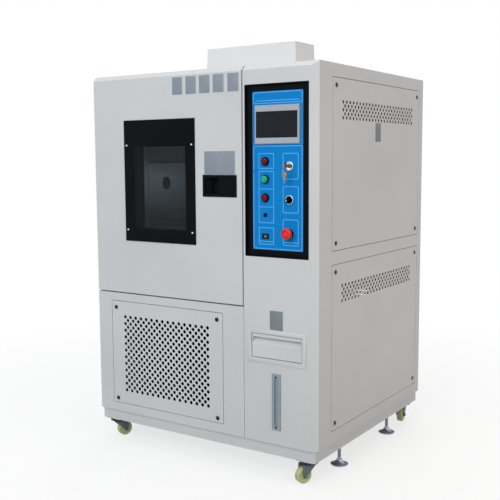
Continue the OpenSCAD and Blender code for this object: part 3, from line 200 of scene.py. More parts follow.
def blend(tree, factor, first, second):
    """A colour between two others."""
    node = add_node(tree, "ShaderNodeMix", data_type="RGBA")
    return feed(tree, node, {"Factor": factor, "A": first, "B": second}).outputs["Result"]


def noise(tree, place, scale, detail=3.0, roughness=0.5):
    """The value of a noise texture."""
    values = {"Vector": place, "Scale": scale, "Detail": detail, "Roughness": roughness}
    return feed(tree, add_node(tree, "ShaderNodeTexNoise"), values).outputs["Fac"]


def fit_range(tree, value, limits, **settings):
    """A value moved from one range to another."""
    node = add_node(tree, "ShaderNodeMapRange", **settings)
    return feed(tree, node, {"Value": value, **limits}).outputs["Result"]


def shader_group(name, inputs, outputs, build):
    """A shader group with named sockets, built once and then found by its name."""
    if name not in bpy.data.node_groups:
        group = bpy.data.node_groups.new(name, "ShaderNodeTree")
        for label, kind, default in inputs:
            socket = group.interface.new_socket(name=label, in_out="INPUT", socket_type=kind)
            socket.default_value = default
        for label, kind in outputs:
            group.interface.new_socket(name=label, in_out="OUTPUT", socket_type=kind)
        results = build(group, add_node(group, "NodeGroupInput").outputs, object_place(group))
        feed(group, add_node(group, "NodeGroupOutput"), results)
    return bpy.data.node_groups[name]


FINISH_OUTPUTS = (("Colour", COLOUR), ("Roughness", FLOAT), ("Relief", FLOAT))


def uneven_roughness(group, given, mask):
    """The given roughness, moved up and down by a mask."""
    centred = calc(group, "SUBTRACT", mask, 0.5)
    return calc(group, "MULTIPLY_ADD", centred, given["Roughness Spread"], given["Roughness"],
                use_clamp=True)


def moulded_group():
    """Drifting colour, drifting roughness and a fine relief, for coats, plastics and rubber."""
    def build(group, given, place):
        drift = noise(group, place, given["Drift Scale"], detail=4.0)
        mask = fit_range(group, drift, {"From Min": 0.3, "From Max": 0.7})
        wipe = noise(group, place, 11.0, detail=5.0, roughness=0.6)
        return {"Colour": blend(group, mask, given["Colour"], given["Shade"]),
                "Roughness": uneven_roughness(group, given, wipe),
                "Relief": noise(group, place, given["Relief Scale"], detail=2.0)}

    inputs = (("Colour", COLOUR, (0.8, 0.8, 0.8, 1)), ("Shade", COLOUR, (0.7, 0.7, 0.7, 1)),
              ("Drift Scale", FLOAT, 4.0), ("Relief Scale", FLOAT, 400.0), ("Roughness", FLOAT, 0.4),
              ("Roughness Spread", FLOAT, 0.1))
    return shader_group("Moulded Surface", inputs, FINISH_OUTPUTS, build)


def grain_group():
    """Long fine scratches along one direction, for brushed and rolled metal."""
    def build(group, given, place):
        stretched = feed(group, add_node(group, "ShaderNodeVectorMath", operation="MULTIPLY"),
                         {0: place, 1: given["Grain"]}).outputs["Vector"]
        scratches = noise(group, stretched, 1.0, roughness=0.7)
        clouds = calc(group, "MULTIPLY", noise(group, place, 5.0), 0.4)
        mask = calc(group, "MULTIPLY_ADD", scratches, 0.6, clouds, use_clamp=True)
        return {"Colour": blend(group, mask, given["Colour"], given["Shade"]),
                "Roughness": uneven_roughness(group, given, mask), "Relief": scratches}

    inputs = (("Colour", COLOUR, (0.7, 0.7, 0.7, 1)), ("Shade", COLOUR, (0.6, 0.6, 0.6, 1)),
              ("Grain", VECTOR, (20.0, 20.0, 900.0)), ("Roughness", FLOAT, 0.3),
              ("Roughness Spread", FLOAT, 0.15))
    return shader_group("Rolled Grain", inputs, FINISH_OUTPUTS, build)


def rib_group():
    """Even ribs along Z between two heights, for threads, corrugations and fine fins."""
    def build(group, given, place):
        height = along(group, place, "Z")
        turns = calc(group, "DIVIDE", height, given["Pitch"])
        wave = calc(group, "SINE", calc(group, "MULTIPLY", turns, 2 * math.pi))
        inside = calc(group, "MULTIPLY", calc(group, "GREATER_THAN", height, given["Low"]),
                      calc(group, "LESS_THAN", height, given["High"]))
        return {"Height": calc(group, "MULTIPLY", wave, inside)}

    inputs = (("Pitch", FLOAT, 0.002), ("Low", FLOAT, 0.0), ("High", FLOAT, 1.0))
    return shader_group("Even Ribs", inputs, (("Height", FLOAT),), build)


# Materials

def built_once(build):
    """Lets a finish be built once, and found by its name after that."""
    def finish(name, *values, **settings):
        material = bpy.data.materials.get(name)
        if material is None:
            material = bpy.data.materials.new(name)
            tree = empty_tree(material)
            shader = add_node(tree, "ShaderNodeBsdfPrincipled")
            feed(tree, add_node(tree, "ShaderNodeOutputMaterial"), {"Surface": shader.outputs["BSDF"]})
            build(material, shader, *values, **settings)
        return material
    return finish


def join_group(material, shader, group, values, strength, depth):
    """Puts a group into a material, feeds its colour and roughness to the shader and returns its bump."""
    tree = material.node_tree
    node = feed(tree, add_node(tree, "ShaderNodeGroup", node_tree=group), values)
    bump = feed(tree, add_node(tree, "ShaderNodeBump"),
                {"Strength": strength, "Distance": depth, "Height": node.outputs["Relief"]})
    feed(tree, shader, {"Base Color": node.outputs["Colour"], "Roughness": node.outputs["Roughness"],
                        "Normal": bump.outputs["Normal"]})
    return bump


def mould(material, shader, colour, shade, roughness, spread, relief, strength, drift, depth):
    """The moulded surface with its colours, as every coat, plastic and rubber has it."""
    values = {"Colour": (*colour, 1), "Shade": (*shade, 1), "Drift Scale": drift, "Relief Scale": relief,
              "Roughness": roughness, "Roughness Spread": spread}
    return join_group(material, shader, moulded_group(), values, strength, depth)


def two_tone(material, shader, colour, border, axis):
    """Gives what lies beyond a plane another colour, and returns the mask."""
    tree = material.node_tree
    beyond = calc(tree, "GREATER_THAN", along(tree, object_place(tree), axis), border)
    first = shader.inputs["Base Color"].links[0].from_socket
    feed(tree, shader, {"Base Color": blend(tree, beyond, first, (*colour, 1))})
    return beyond


@built_once
def coat(material, shader, colour, shade, roughness=0.4, spread=0.1, relief=400.0, strength=0.08,
         drift=4.0, metallic=0.0, clear=0.0, shine=0.5):
    """Powder coat, moulded plastic or rubber; relief and drift are noise scales, shine the specular level."""
    mould(material, shader, colour, shade, roughness, spread, relief, strength, drift, 0.0006)
    feed(material.node_tree, shader, {"Metallic": metallic, "Specular IOR Level": shine,
                                      "Coat Weight": clear, "Coat Roughness": 0.08})
    material.diffuse_color = (*colour, 1)


@built_once
def metal(material, shader, colour, shade, grain=(20.0, 20.0, 900.0), roughness=0.32, spread=0.2,
          strength=0.12):
    """Brushed, rolled or plated metal."""
    values = {"Colour": (*colour, 1), "Shade": (*shade, 1), "Grain": grain, "Roughness": roughness,
              "Roughness Spread": spread}
    join_group(material, shader, grain_group(), values, strength, 0.0003)
    shader.inputs["Metallic"].default_value = 1.0
    material.diffuse_color = (*colour, 1)


@built_once
def ribbed(material, shader, colour, shade, pitch, low, high, height, roughness=0.35, metallic=0.0,
           upper=None):
    """A surface with ribs or a thread between two heights, and another colour where they start."""
    fine = mould(material, shader, colour, shade, roughness, 0.15, 500.0, 0.1, 30.0, 0.0003)
    tree = material.node_tree
    ribs = feed(tree, add_node(tree, "ShaderNodeGroup", node_tree=rib_group()),
                {"Pitch": pitch, "Low": low, "High": high})
    coarse = feed(tree, add_node(tree, "ShaderNodeBump"),
                  {"Strength": 0.9, "Distance": height, "Height": ribs.outputs["Height"],
                   "Normal": fine.outputs["Normal"]})
    feed(tree, shader, {"Normal": coarse.outputs["Normal"], "Metallic": metallic})
    two_tone(material, shader, upper or colour, low, "Z")


@built_once
def pane(material, shader, colour, alpha, roughness=0.04):
    """Tinted glass that lets part of the view through."""
    tree = material.node_tree
    smear = noise(tree, object_place(tree), 9.0, detail=4.0)
    limits = {"To Min": roughness, "To Max": roughness + 0.05}
    feed(tree, shader, {"Roughness": fit_range(tree, smear, limits), "Base Color": (*colour, 1),
                        "Alpha": alpha, "Specular IOR Level": 0.4, "IOR": 1.5})
    material.diffuse_color = (*colour, alpha)


@built_once
def switch_rings(material, shader, plain, bright, border):
    """Dark rings left of a plane and bright metal ones right of it."""
    mould(material, shader, plain, plain, 0.25, 0.1, 900.0, 0.04, 60.0, 0.0003)
    beyond = two_tone(material, shader, bright, border, "X")
    feed(material.node_tree, shader, {"Specular IOR Level": 0.15, "Metallic": beyond})


@built_once
def caster_metal(material, shader, cheek, head, border):
    """Zinc cheeks under a dark swivel head."""
    shade = tuple(v * 0.8 for v in cheek)
    mould(material, shader, cheek, shade, 0.4, 0.2, 600.0, 0.1, 40.0, 0.0004)
    shader.inputs["Specular IOR Level"].default_value = 0.4
    two_tone(material, shader, head, border, "Z")


# Modelling helpers

def begin():
    """Leaves edit mode and deselects everything."""
    active = bpy.context.object
    if active is not None and active.mode != "OBJECT":
        bpy.ops.object.mode_set(mode="OBJECT")
    bpy.ops.object.select_all(action="DESELECT")


@contextmanager
def editing(action=None):
    """Edit mode on the active piece, with all or nothing of it selected first, or what is marked."""
    bpy.ops.object.mode_set(mode="EDIT")
    if action is not None:
        bpy.ops.mesh.select_all(action=action)
    yield
    bpy.ops.object.mode_set(mode="OBJECT")


def mark_faces(obj, direction, least):
    """Marks the faces that look in a direction."""
    for face in obj.data.polygons:
        face.select = face.normal.dot(direction) > least


def settle(obj, name, material, body, smooth=30.0):
    """Names a piece, gives it its finish, puts its place in its mesh and lets it ride on a body."""
    begin()
    obj.select_set(True)
    bpy.context.view_layer.objects.active = obj
    bpy.ops.object.transform_apply(location=True, rotation=True, scale=True)
    bpy.ops.object.shade_smooth_by_angle(angle=math.radians(smooth))
    obj.name = name
    obj.data.name = name
    obj.data.materials.clear()
    obj.data.materials.append(material)
    if body is not None:
        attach(obj, body)
    begin()
    return obj


def slab(low, high, rounding, segments=2):
    """A block between two corners with rounded edges."""
    begin()
    low, high = Vector(low), Vector(high)
    bpy.ops.mesh.primitive_cube_add(size=1.0, location=(low + high) / 2)
    bpy.ops.transform.resize(value=high - low)
    bpy.ops.object.transform_apply(location=True, rotation=True, scale=True)
    with editing("SELECT"):
        bpy.ops.mesh.bevel(offset=rounding, segments=segments, affect="EDGES")
    return bpy.context.object


def rounded_face(low, high, y, radius):
    """A flat face with rounded corners that looks to the front, between two corners in X and Z."""
    centre = Vector(((low[0] + high[0]) / 2, y, (low[1] + high[1]) / 2))
    return flat_face(centre, high[0] - low[0], high[1] - low[1], radius)


def flat_face(centre, width, height, radius, turn=0.0):
    """A flat face with rounded corners round its centre, turned from the front to the right."""
    begin()
    bpy.ops.mesh.primitive_plane_add(size=1.0, location=centre)
    bpy.ops.transform.resize(value=(width, height, 1.0))
    bpy.ops.object.transform_apply(location=False, rotation=False, scale=True)
    bpy.context.object.rotation_euler = (math.pi / 2, 0, turn)
    bpy.ops.object.transform_apply(location=True, rotation=True, scale=True)
    with editing("SELECT"):
        if radius > 0:
            bpy.ops.mesh.bevel(offset=radius, segments=5, affect="VERTICES")
    return bpy.context.object


def open_middle(border):
    """Leaves only a border of the active flat face."""
    with editing("SELECT"):
        bpy.ops.mesh.inset(thickness=border, depth=0.0)
        bpy.ops.mesh.delete(type="FACE")


def thicken(obj, thickness, rounding=0.0):
    """Gives a flat face thickness towards its front, with a soft edge."""
    modifier = obj.modifiers.new("Thickness", "SOLIDIFY")
    modifier.thickness = thickness
    modifier.offset = 1.0
    bpy.context.view_layer.objects.active = obj
    bpy.ops.object.modifier_apply(modifier=modifier.name)
    if rounding > 0:
        edge = obj.modifiers.new("Edge", "BEVEL")
        edge.width = rounding
        edge.segments = 2
        edge.limit_method = "ANGLE"
        edge.angle_limit = math.radians(50)
        bpy.ops.object.modifier_apply(modifier=edge.name)


def plate(name, centre, width, height, material, body, turn=0.0, thickness=None):
    """A bare label plate with rounded corners and a soft edge."""
    sizes = bpy.context.scene.chamber_sizes
    depth = thickness or sizes.plate_thickness
    obj = flat_face(centre, width, height, sizes.plate_corner, turn)
    thicken(obj, depth, depth * 0.35)
    return settle(obj, name, material, body)


def outline(name, low, high, y, radius, material):
    """A printed line round a rounded rectangle on the front face of the panel."""
    sizes = bpy.context.scene.chamber_sizes
    obj = rounded_face(low, high, y, radius)
    open_middle(sizes.line_width)
    thicken(obj, sizes.line_height)
    return settle(obj, name, material, "cabinet")


def ring(name, centre, radius, section, material, body, flatten=1.0):
    """A round ring that faces the front, optionally stretched along its axis."""
    begin()
    bpy.ops.mesh.primitive_torus_add(
        major_radius=radius, minor_radius=section, major_segments=40, minor_segments=10)
    obj = bpy.context.object
    bpy.ops.transform.resize(value=(1.0, 1.0, flatten))
    bpy.ops.object.transform_apply(location=True, rotation=True, scale=True)
    obj.rotation_euler = (math.pi / 2, 0, 0)
    obj.location = centre
    return settle(obj, name, material, body, 60.0)


UP, FRONTWARD = Vector((0, 0, 1)), Vector((0, -1, 0))
FACING_FRONT = (math.pi / 2, 0, 0)
FACING_LEFT = (0, -math.pi / 2, 0)


def disc(name, centre, radius, depth, material, body, turn=FACING_FRONT, rounding=0.0006, sides=32,
         dish=0.0):
    """A turned disc whose rim is rounded and whose face may be dished."""
    begin()
    bpy.ops.mesh.primitive_cylinder_add(vertices=sides, radius=radius, depth=depth)
    obj = bpy.context.object
    with editing("DESELECT"):
        pass
    mark_faces(obj, UP, 0.9)
    with editing():
        bpy.ops.mesh.bevel(offset=rounding, segments=3, affect="EDGES")
    if dish != 0.0:
        mark_faces(obj, UP, 0.98)
        with editing():
            bpy.ops.mesh.inset(thickness=radius * 0.35, depth=dish)
    obj.rotation_euler = turn
    obj.location = centre
    return settle(obj, name, material, body, 40.0)


def bead(name, low, high, y, radius, corner, material):
    """A round bead on the door that runs along a rectangle with rounded corners."""
    rounded_face(low, high, y, corner)
    with editing("SELECT"):
        bpy.ops.mesh.delete(type="ONLY_FACE")
    bpy.ops.object.convert(target="CURVE")
    curve = bpy.context.object
    curve.data.bevel_depth = radius
    curve.data.bevel_resolution = 3
    bpy.ops.object.convert(target="MESH")
    with editing("SELECT"):
        bpy.ops.mesh.remove_doubles(threshold=0.00001)
        bpy.ops.mesh.normals_make_consistent(inside=False)
    return settle(bpy.context.object, name, material, "door", 60.0)


# Finishes by node

# Height above the floor of the foot's thread and of the caster's swivel head
THREAD_LOW = 0.026
HEAD_LOW = 0.0655


def finishes():
    """Every finish of the chamber, by a plain name."""
    tones = bpy.context.scene.chamber_colours
    coat_tone = tuple(tones.coat)
    coat_shade = tuple(tones.coat_shade)
    black = tuple(tones.black)
    panel = tuple(tones.panel)
    return {
        "coat": coat("Powder coat", coat_tone, coat_shade, 0.46, 0.12, 520.0, 0.10, 2.5, shine=0.3),
        "drawer": coat("Drawer plastic", tone(214, 215, 216), tone(206, 208, 209), 0.36, 0.1, 700.0, 0.04,
                       shine=0.35),
        "black": coat("Black plastic", black, tone(10, 11, 14), 0.42, 0.14, 800.0, 0.06, 6.0, shine=0.05),
        "gloss_black": coat("Gloss black plate", tone(13, 14, 18), tone(10, 11, 14), 0.24, 0.08, 300.0, 0.02,
                            3.0, shine=0.05),
        "rubber": coat("Seal rubber", tone(22, 22, 24), tone(30, 30, 32), 0.62, 0.15, 900.0, 0.12, 20.0,
                       shine=0.2),
        "panel": coat("Blue panel film", panel, tuple(v * 0.93 for v in panel), 0.38, 0.1, 900.0, 0.05, 5.0,
                      shine=0.1),
        "line": coat("Printed line", tuple(tones.line), tuple(v * 0.9 for v in tones.line), 0.4, 0.05, 900.0,
                     0.02, 9.0, shine=0.2),
        "bezel": coat("Screen housing", tone(176, 180, 186), tone(168, 172, 178), 0.4, 0.1, 1200.0, 0.08,
                      8.0),
        "screen": coat("Dark screen", tone(28, 33, 42), tone(22, 26, 34), 0.14, 0.05, 200.0, 0.01, 6.0,
                       shine=0.15),
        "lens_red": coat("Dark red lens", tone(140, 6, 24), tone(104, 4, 18), 0.2, 0.08, 300.0, 0.02, 40.0,
                         clear=0.1, shine=0.2),
        "lens_green": coat("Green lens", tone(30, 200, 150), tone(16, 176, 126), 0.22, 0.08, 300.0, 0.02,
                           40.0, clear=0.1, shine=0.2),
        "mushroom": coat("Red mushroom head", tone(240, 52, 48), tone(226, 42, 42), 0.35, 0.1, 300.0, 0.02,
                         30.0, shine=0.3),
        "plate": coat("Bare silver plate", tuple(tones.plate), tuple(v * 0.86 for v in tones.plate), 0.5,
                      0.12, 900.0, 0.05, 14.0, shine=0.3),
        "sign": coat("Bare grey plate", tone(134, 144, 146), tone(122, 130, 132), 0.5, 0.12, 900.0, 0.05,
                     14.0, shine=0.3),
        "gauge": coat("Gauge plate", tone(150, 161, 170), tone(140, 151, 160), 0.42, 0.12, 700.0, 0.05, 9.0,
                      shine=0.35),
        "tread": coat("Caster tread", tuple(tones.tread), tone(182, 186, 132), 0.42, 0.15, 500.0, 0.08, 40.0),
        "foam": coat("Rigid foam", tone(236, 226, 196), tone(222, 208, 170), 0.85, 0.1, 700.0, 0.5, 14.0),
        "faced_foam": coat("Faced foam", tone(30, 30, 32), tone(22, 22, 24), 0.7, 0.1, 700.0, 0.3, 14.0,
                           shine=0.1),
        "tank": coat("Tank plastic", tone(226, 228, 226), tone(214, 217, 214), 0.45, 0.1, 400.0, 0.05, 7.0),
        "electrics": coat("Switchgear", tone(58, 62, 68), tone(44, 47, 52), 0.5, 0.1, 500.0, 0.08, 12.0),
        "compressor": coat("Compressor paint", tone(24, 26, 30), tone(34, 36, 40), 0.35, 0.2, 260.0, 0.12,
                           8.0, clear=0.2),
        "motor": coat("Cast motor", tone(112, 118, 124), tone(94, 100, 106), 0.48, 0.15, 380.0, 0.25, 9.0,
                      metallic=0.5),
        "fitting": coat("Gland plastic", tone(30, 31, 34), tone(42, 43, 46), 0.45, 0.1, 600.0, 0.06, 20.0),
        "white": coat("White mark", tone(236, 238, 240), tone(226, 228, 231), 0.35, 0.05, 500.0, 0.02, 20.0),
        "stainless": metal("Brushed stainless", tone(206, 208, 210), tone(176, 179, 182), (6.0, 6.0, 700.0)),
        "pan": metal("Door pan stainless", tone(208, 210, 212), tone(182, 185, 188), (700.0, 6.0, 6.0), 0.3),
        "sheet_zinc": metal("Galvanised sheet", tone(168, 172, 176), tone(140, 145, 150), (60.0, 60.0, 60.0),
                            0.4, 0.3, 0.1),
        "zinc": metal("Zinc plate", tone(148, 158, 164), tone(118, 128, 136), (240.0, 240.0, 240.0), 0.34,
                      0.2, 0.08),
        "chrome": metal("Chrome", tone(226, 228, 232), tone(204, 207, 212), (300.0, 300.0, 300.0), 0.12, 0.08,
                        0.02),
        "coil": metal("Coil fins", tone(196, 186, 172), tone(170, 150, 128), (90.0, 90.0, 90.0), 0.4, 0.2,
                      0.08),
        # The condenser's near-black colour is painted shade: it stands in for the dim machine compartment
        # seen through the front grille.
        "coil_painted_shade": coat("Coil fins in painted shade", tone(30, 31, 33), tone(20, 21, 22), 0.5, 0.15, 700.0, 0.1, 20.0,
                           shine=0.2),
        "rings": switch_rings("Switch rings", tone(20, 21, 27), tone(206, 212, 220),
                              (PANEL_LOW.x + PANEL_HIGH.x) / 2),
        "fork": caster_metal("Caster metal", tone(104, 116, 120), tone(24, 26, 27), HEAD_LOW),
        "foot": ribbed("Levelling foot", tone(184, 194, 212), tone(152, 162, 180), 0.00175, THREAD_LOW,
                       0.2, 0.0006, 0.24, 0.9, tone(176, 182, 184)),
        "conduit": ribbed("Ribbed conduit", tone(22, 23, 26), tone(32, 33, 36), 0.004, 0.0, 2.0, 0.0009, 0.5),
        "black_screw": coat("Black screw", tone(20, 21, 24), tone(30, 31, 34), 0.22, 0.1, 900.0, 0.03, 60.0,
                            metallic=0.6),
        "window": pane("Window glass", tone(12, 16, 20), 0.2),
        "white_coat": coat("White powder coat", tone(230, 231, 231), tone(223, 225, 225), 0.46, 0.12,
                           520.0, 0.10, 2.5, shine=0.3),
        "key_steel": metal("Key steel", tone(150, 146, 132), tone(118, 112, 98), (200.0, 200.0, 200.0), 0.38),
    }


NODE_FINISH = {
    "base_frame": "coat", "casing_wrap": "coat", "right_frame": "coat", "side_panels": "coat",
    "rear_panel": "coat", "column_front": "coat", "lower_front": "coat", "front_grille": "coat",
    "motor_cover": "white_coat", "door_skin": "coat", "water_drawer": "drawer", "inner_frame": "sheet_zinc",
    "inner_liner": "stainless", "wire_shelves": "stainless", "air_baffle": "stainless",
    "duct_coils": "coil", "door_pan": "pan", "insulation": "faced_foam", "door_foam": "foam",
    "service_fittings": "fitting", "panel_screws": "black_screw", "fan_motor": "motor",
    "compressor": "compressor", "condenser": "coil_painted_shade", "humidifier": "tank", "level_gauge": "gauge",
    "electrical_plate": "electrics", "control_surround": "black", "control_panel": "panel",
    "touch_screen": "bezel", "screen_glass": "screen", "indicator_heads": "lens_red",
    "switch_bodies": "rings", "cabinet_hinges": "zinc", "door_hinges": "zinc", "cable_port": "rubber",
    "door_gasket": "rubber", "window_frame": "gloss_black", "window_glass": "window",
    "handle_tray": "black", "handle_paddle": "black", "door_cable": "conduit",
    "start_button": "lens_green", "stop_mushroom": "mushroom", "switch_key": "key_steel",
    "selector_knob": "black", "circulation_fan": "stainless", "condenser_fan": "fitting",
}


class CHAMBER_OT_finishes(bpy.types.Operator):
    """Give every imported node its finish"""

    bl_idname = "chamber.finishes"
    bl_label = "Finishes"

    def execute(self, context):
        made = finishes()
        for name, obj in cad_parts.items():
            if name.startswith("fork_"):
                key = "fork"
            elif name.startswith("wheel_"):
                key = "tread"
            elif name.startswith("foot_"):
                key = "foot"
            else:
                key = NODE_FINISH[name]
            for slot in obj.material_slots:
                slot.material = made[key]
        return {"FINISHED"}


# Heights above the floor of the boxes and strips on the blue panel, and how deep their lines lie
BOXES_FOOT = 0.7904
BOXES_TOP = 1.090
FOOT_STRIPS = 0.801
HEAD_STRIP = 1.2585
LINE_SUNK = 0.0015


class CHAMBER_OT_panel_lines(bpy.types.Operator):
    """Print the light lines round the groups of switches on the blue panel"""

    bl_idname = "chamber.panel_lines"
    bl_label = "Panel lines"

    def execute(self, context):
        made = finishes()
        y = PANEL_LOW.y + LINE_SUNK
        width = context.scene.chamber_sizes.line_width
        middle = (PANEL_LOW.x + PANEL_HIGH.x) / 2
        left = (middle - 0.0729, middle - 0.0135)
        right = (middle + 0.0198, middle + 0.0791)
        # Each box by its lower left and upper right corner in X and Z, and its corner radius
        boxes = {
            "line_panel_edge": ((PANEL_LOW.x + 0.002, PANEL_LOW.z + 0.002),
                                (PANEL_HIGH.x - 0.002, PANEL_HIGH.z - 0.002), 0.009),
            "line_screen": ((SCREEN_LOW.x - 0.008, SCREEN_LOW.z - 0.008),
                            (SCREEN_HIGH.x + 0.008, SCREEN_HIGH.z + 0.008), 0.002),
            "line_lamp": ((left[0], 1.039), (left[1], BOXES_TOP), 0.003),
            "line_buttons": ((left[0], 0.8613), (left[1], 1.0323), 0.003),
            "line_port": ((left[0], BOXES_FOOT), (left[1], 0.8475), 0.003),
            "line_key": ((right[0], 1.005), (right[1], BOXES_TOP), 0.006),
            "line_selector": ((right[0], 0.8962), (right[1], 0.9835), 0.006),
            "line_stop": ((right[0], BOXES_FOOT), (right[1], 0.8766), 0.006),
        }
        for name, (low, high, radius) in boxes.items():
            outline(name, low, high, y, radius, made["line"])
        # Each strip by its reach in X and its height above the floor
        head = (PANEL_LOW.x + 0.012, PANEL_HIGH.x - 0.012)
        strips = {
            "strip_upper": (left, 0.973), "strip_middle": (left, 0.9145), "strip_port": (left, FOOT_STRIPS),
            "strip_stop": (right, FOOT_STRIPS), "strip_head": (head, HEAD_STRIP),
        }
        height = context.scene.chamber_sizes.line_height
        for name, (span, z) in strips.items():
            low = Vector((span[0] + width, y - height, z - width / 2))
            high = Vector((span[1] - width, y, z + width / 2))
            settle(slab(low, high, height * 0.3, 1), name, made["line"], "cabinet")
        return {"FINISHED"}


# Heights above the floor of the jack and of the tongue in the data port
JACK_Z = 0.8875
PORT_FOOT, PORT_TOP = 0.8140, 0.8204


class CHAMBER_OT_switch_trim(bpy.types.Operator):
    """Add the rings, marks and keys of the switches"""

    bl_idname = "chamber.switch_trim"
    bl_label = "Switch trim"

    def execute(self, context):
        made = finishes()
        sizes = context.scene.chamber_sizes
        left = (START_LOW.x + START_HIGH.x) / 2
        right = (STOP_LOW.x + STOP_HIGH.x) / 2
        ring_y = BODIES_LOW.y + 0.0002
        lens_radius = (LENS_HIGH.x - LENS_LOW.x) / 2
        lamp_z = LENS_HIGH.z - lens_radius
        buzzer_z = LENS_LOW.z + lens_radius
        start_z = (START_LOW.z + START_HIGH.z) / 2
        key_z = (KEY_LOW.z + KEY_HIGH.z) / 2
        knob_z = (KNOB_LOW.z + KNOB_HIGH.z) / 2
        stop_z = (STOP_LOW.z + STOP_HIGH.z) / 2
        places = {
            "lamp": (left, lamp_z, "gloss_black"), "start": (left, start_z, "gloss_black"),
            "buzzer": (left, buzzer_z, "gloss_black"), "key": (right, key_z, "chrome"),
            "selector": (right, knob_z, "chrome"), "stop": (right, stop_z, "gloss_black"),
        }
        for name, (x, z, finish) in places.items():
            ring("bezel_" + name, Vector((x, ring_y, z)), sizes.bezel_radius, sizes.bezel_round,
                 made[finish], "cabinet", flatten=1.25)
        for name, z in (("lamp", lamp_z), ("buzzer", buzzer_z)):
            disc("lens_cap_" + name, Vector((left, LENS_LOW.y - 0.0002, z)), 0.0072, 0.001,
                 made["lens_red"], "cabinet", dish=-0.0004)
        disc("start_cap", Vector((left, START_LOW.y - 0.0003, start_z)), 0.0078, 0.0012,
             made["lens_green"], "start_button", dish=-0.0004)
        disc("stop_cap", Vector((right, STOP_LOW.y - 0.0002, stop_z)), 0.0132, 0.0012, made["mushroom"],
             "stop_button", dish=-0.0004)
        disc("stop_collar", Vector((right, ring_y - 0.0042, stop_z)), 0.0128, 0.005, made["gloss_black"],
             "cabinet")
        ring("jack_ring", Vector((left, PANEL_LOW.y - 0.0007, JACK_Z)), 0.0052, 0.0011, made["gloss_black"],
             "cabinet")
        port = slab((left - 0.0052, PANEL_LOW.y + 0.0004, PORT_FOOT),
                    (left + 0.0052, PANEL_LOW.y + 0.0012, PORT_TOP), 0.0003)
        settle(port, "port_tongue", made["sign"], "cabinet")
        mark = slab((right - 0.0013, KNOB_LOW.y - 0.0004, knob_z - 0.0088),
                    (right + 0.0013, KNOB_LOW.y + 0.0012, knob_z - 0.0012), 0.0004)
        bpy.context.view_layer.objects.active = mark
        turn = Matrix.Rotation(math.radians(45), 4, "Y")
        mark.matrix_world = (Matrix.Translation((right, 0, knob_z)) @ turn
                             @ Matrix.Translation((-right, 0, -knob_z)))
        settle(mark, "selector_mark", made["white"], "selector")
        hole_z = key_z - 0.007
        hole_y = KEY_LOW.y + 0.004
        ring("key_ring", Vector((right, hole_y, hole_z - 0.0065)), 0.0085, 0.0009, made["key_steel"], "key")
        disc("spare_bow", Vector((right - 0.001, hole_y, hole_z - 0.021)), 0.0088, 0.0022,
             made["key_steel"], "key", rounding=0.0005)
        blade = slab((right - 0.0042, hole_y - 0.0009, hole_z - 0.047),
                     (right + 0.0018, hole_y + 0.0009, hole_z - 0.0285), 0.0006)
        settle(blade, "spare_blade", made["key_steel"], "key")
        return {"FINISHED"}


# Middles of the small plates along the top of the door, in millimetres from the cabinet's middle
DOOR_PLATES = (-77, -18, 40, 98, 158)


class CHAMBER_OT_plates(bpy.types.Operator):
    """Add the bare label plates of the door, the column and the side"""

    bl_idname = "chamber.plates"
    bl_label = "Bare plates"

    def execute(self, context):
        made = finishes()
        handle_x = (HANDLE_LOW.x + HANDLE_HIGH.x) / 2
        plate("plate_handle", Vector((handle_x, DOOR_LOW.y, HANDLE_HIGH.z + 0.0405)), 0.127, 0.079,
              made["plate"], "door")
        for count, x in enumerate(DOOR_PLATES, 1):
            plate("plate_door_%d" % count, at(x, 0, 1324), 0.044, 0.060, made["plate"], "door")
        plate("plate_drawer", at(324.3, 0, 541), 0.050, 0.064, made["sign"], "cabinet", thickness=0.0012)
        side = Vector((SIDE_HIGH.x, FRONT_Y + 0.449, 1.1625))
        plate("plate_side", side, 0.045, 0.065, made["sign"], "cabinet", turn=math.pi / 2)
        return {"FINISHED"}


class CHAMBER_OT_door_seal(bpy.types.Operator):
    """Add the round beads of the door seal and the bright rim of the window tunnel"""

    bl_idname = "chamber.door_seal"
    bl_label = "Door seal"

    def execute(self, context):
        made = finishes()
        radius = context.scene.chamber_sizes.bead_radius
        y = SEAL_HIGH.y - radius - 0.0001
        for name, inset in (("seal_bead_outer", 0.0035), ("seal_bead_inner", 0.0115)):
            low = (SEAL_LOW.x + inset, SEAL_LOW.z + inset)
            high = (SEAL_HIGH.x - inset, SEAL_HIGH.z - inset)
            bead(name, low, high, y, radius, 0.012, made["rubber"])
        bead("pan_window_rim", (GLASS_LOW.x - 0.001, GLASS_LOW.z - 0.001),
             (GLASS_HIGH.x + 0.001, GLASS_HIGH.z + 0.001), PAN_HIGH.y - 0.0006, 0.0016, 0.004, made["pan"])
        return {"FINISHED"}


# Steps round the whole ring of the conduit, the height of the rib on every other step, and how far the
# cuff at the door stands out past the conduit
LOOP_STEPS = 64
RIB_HEIGHT = 0.0006
CUFF_WALL = 0.003


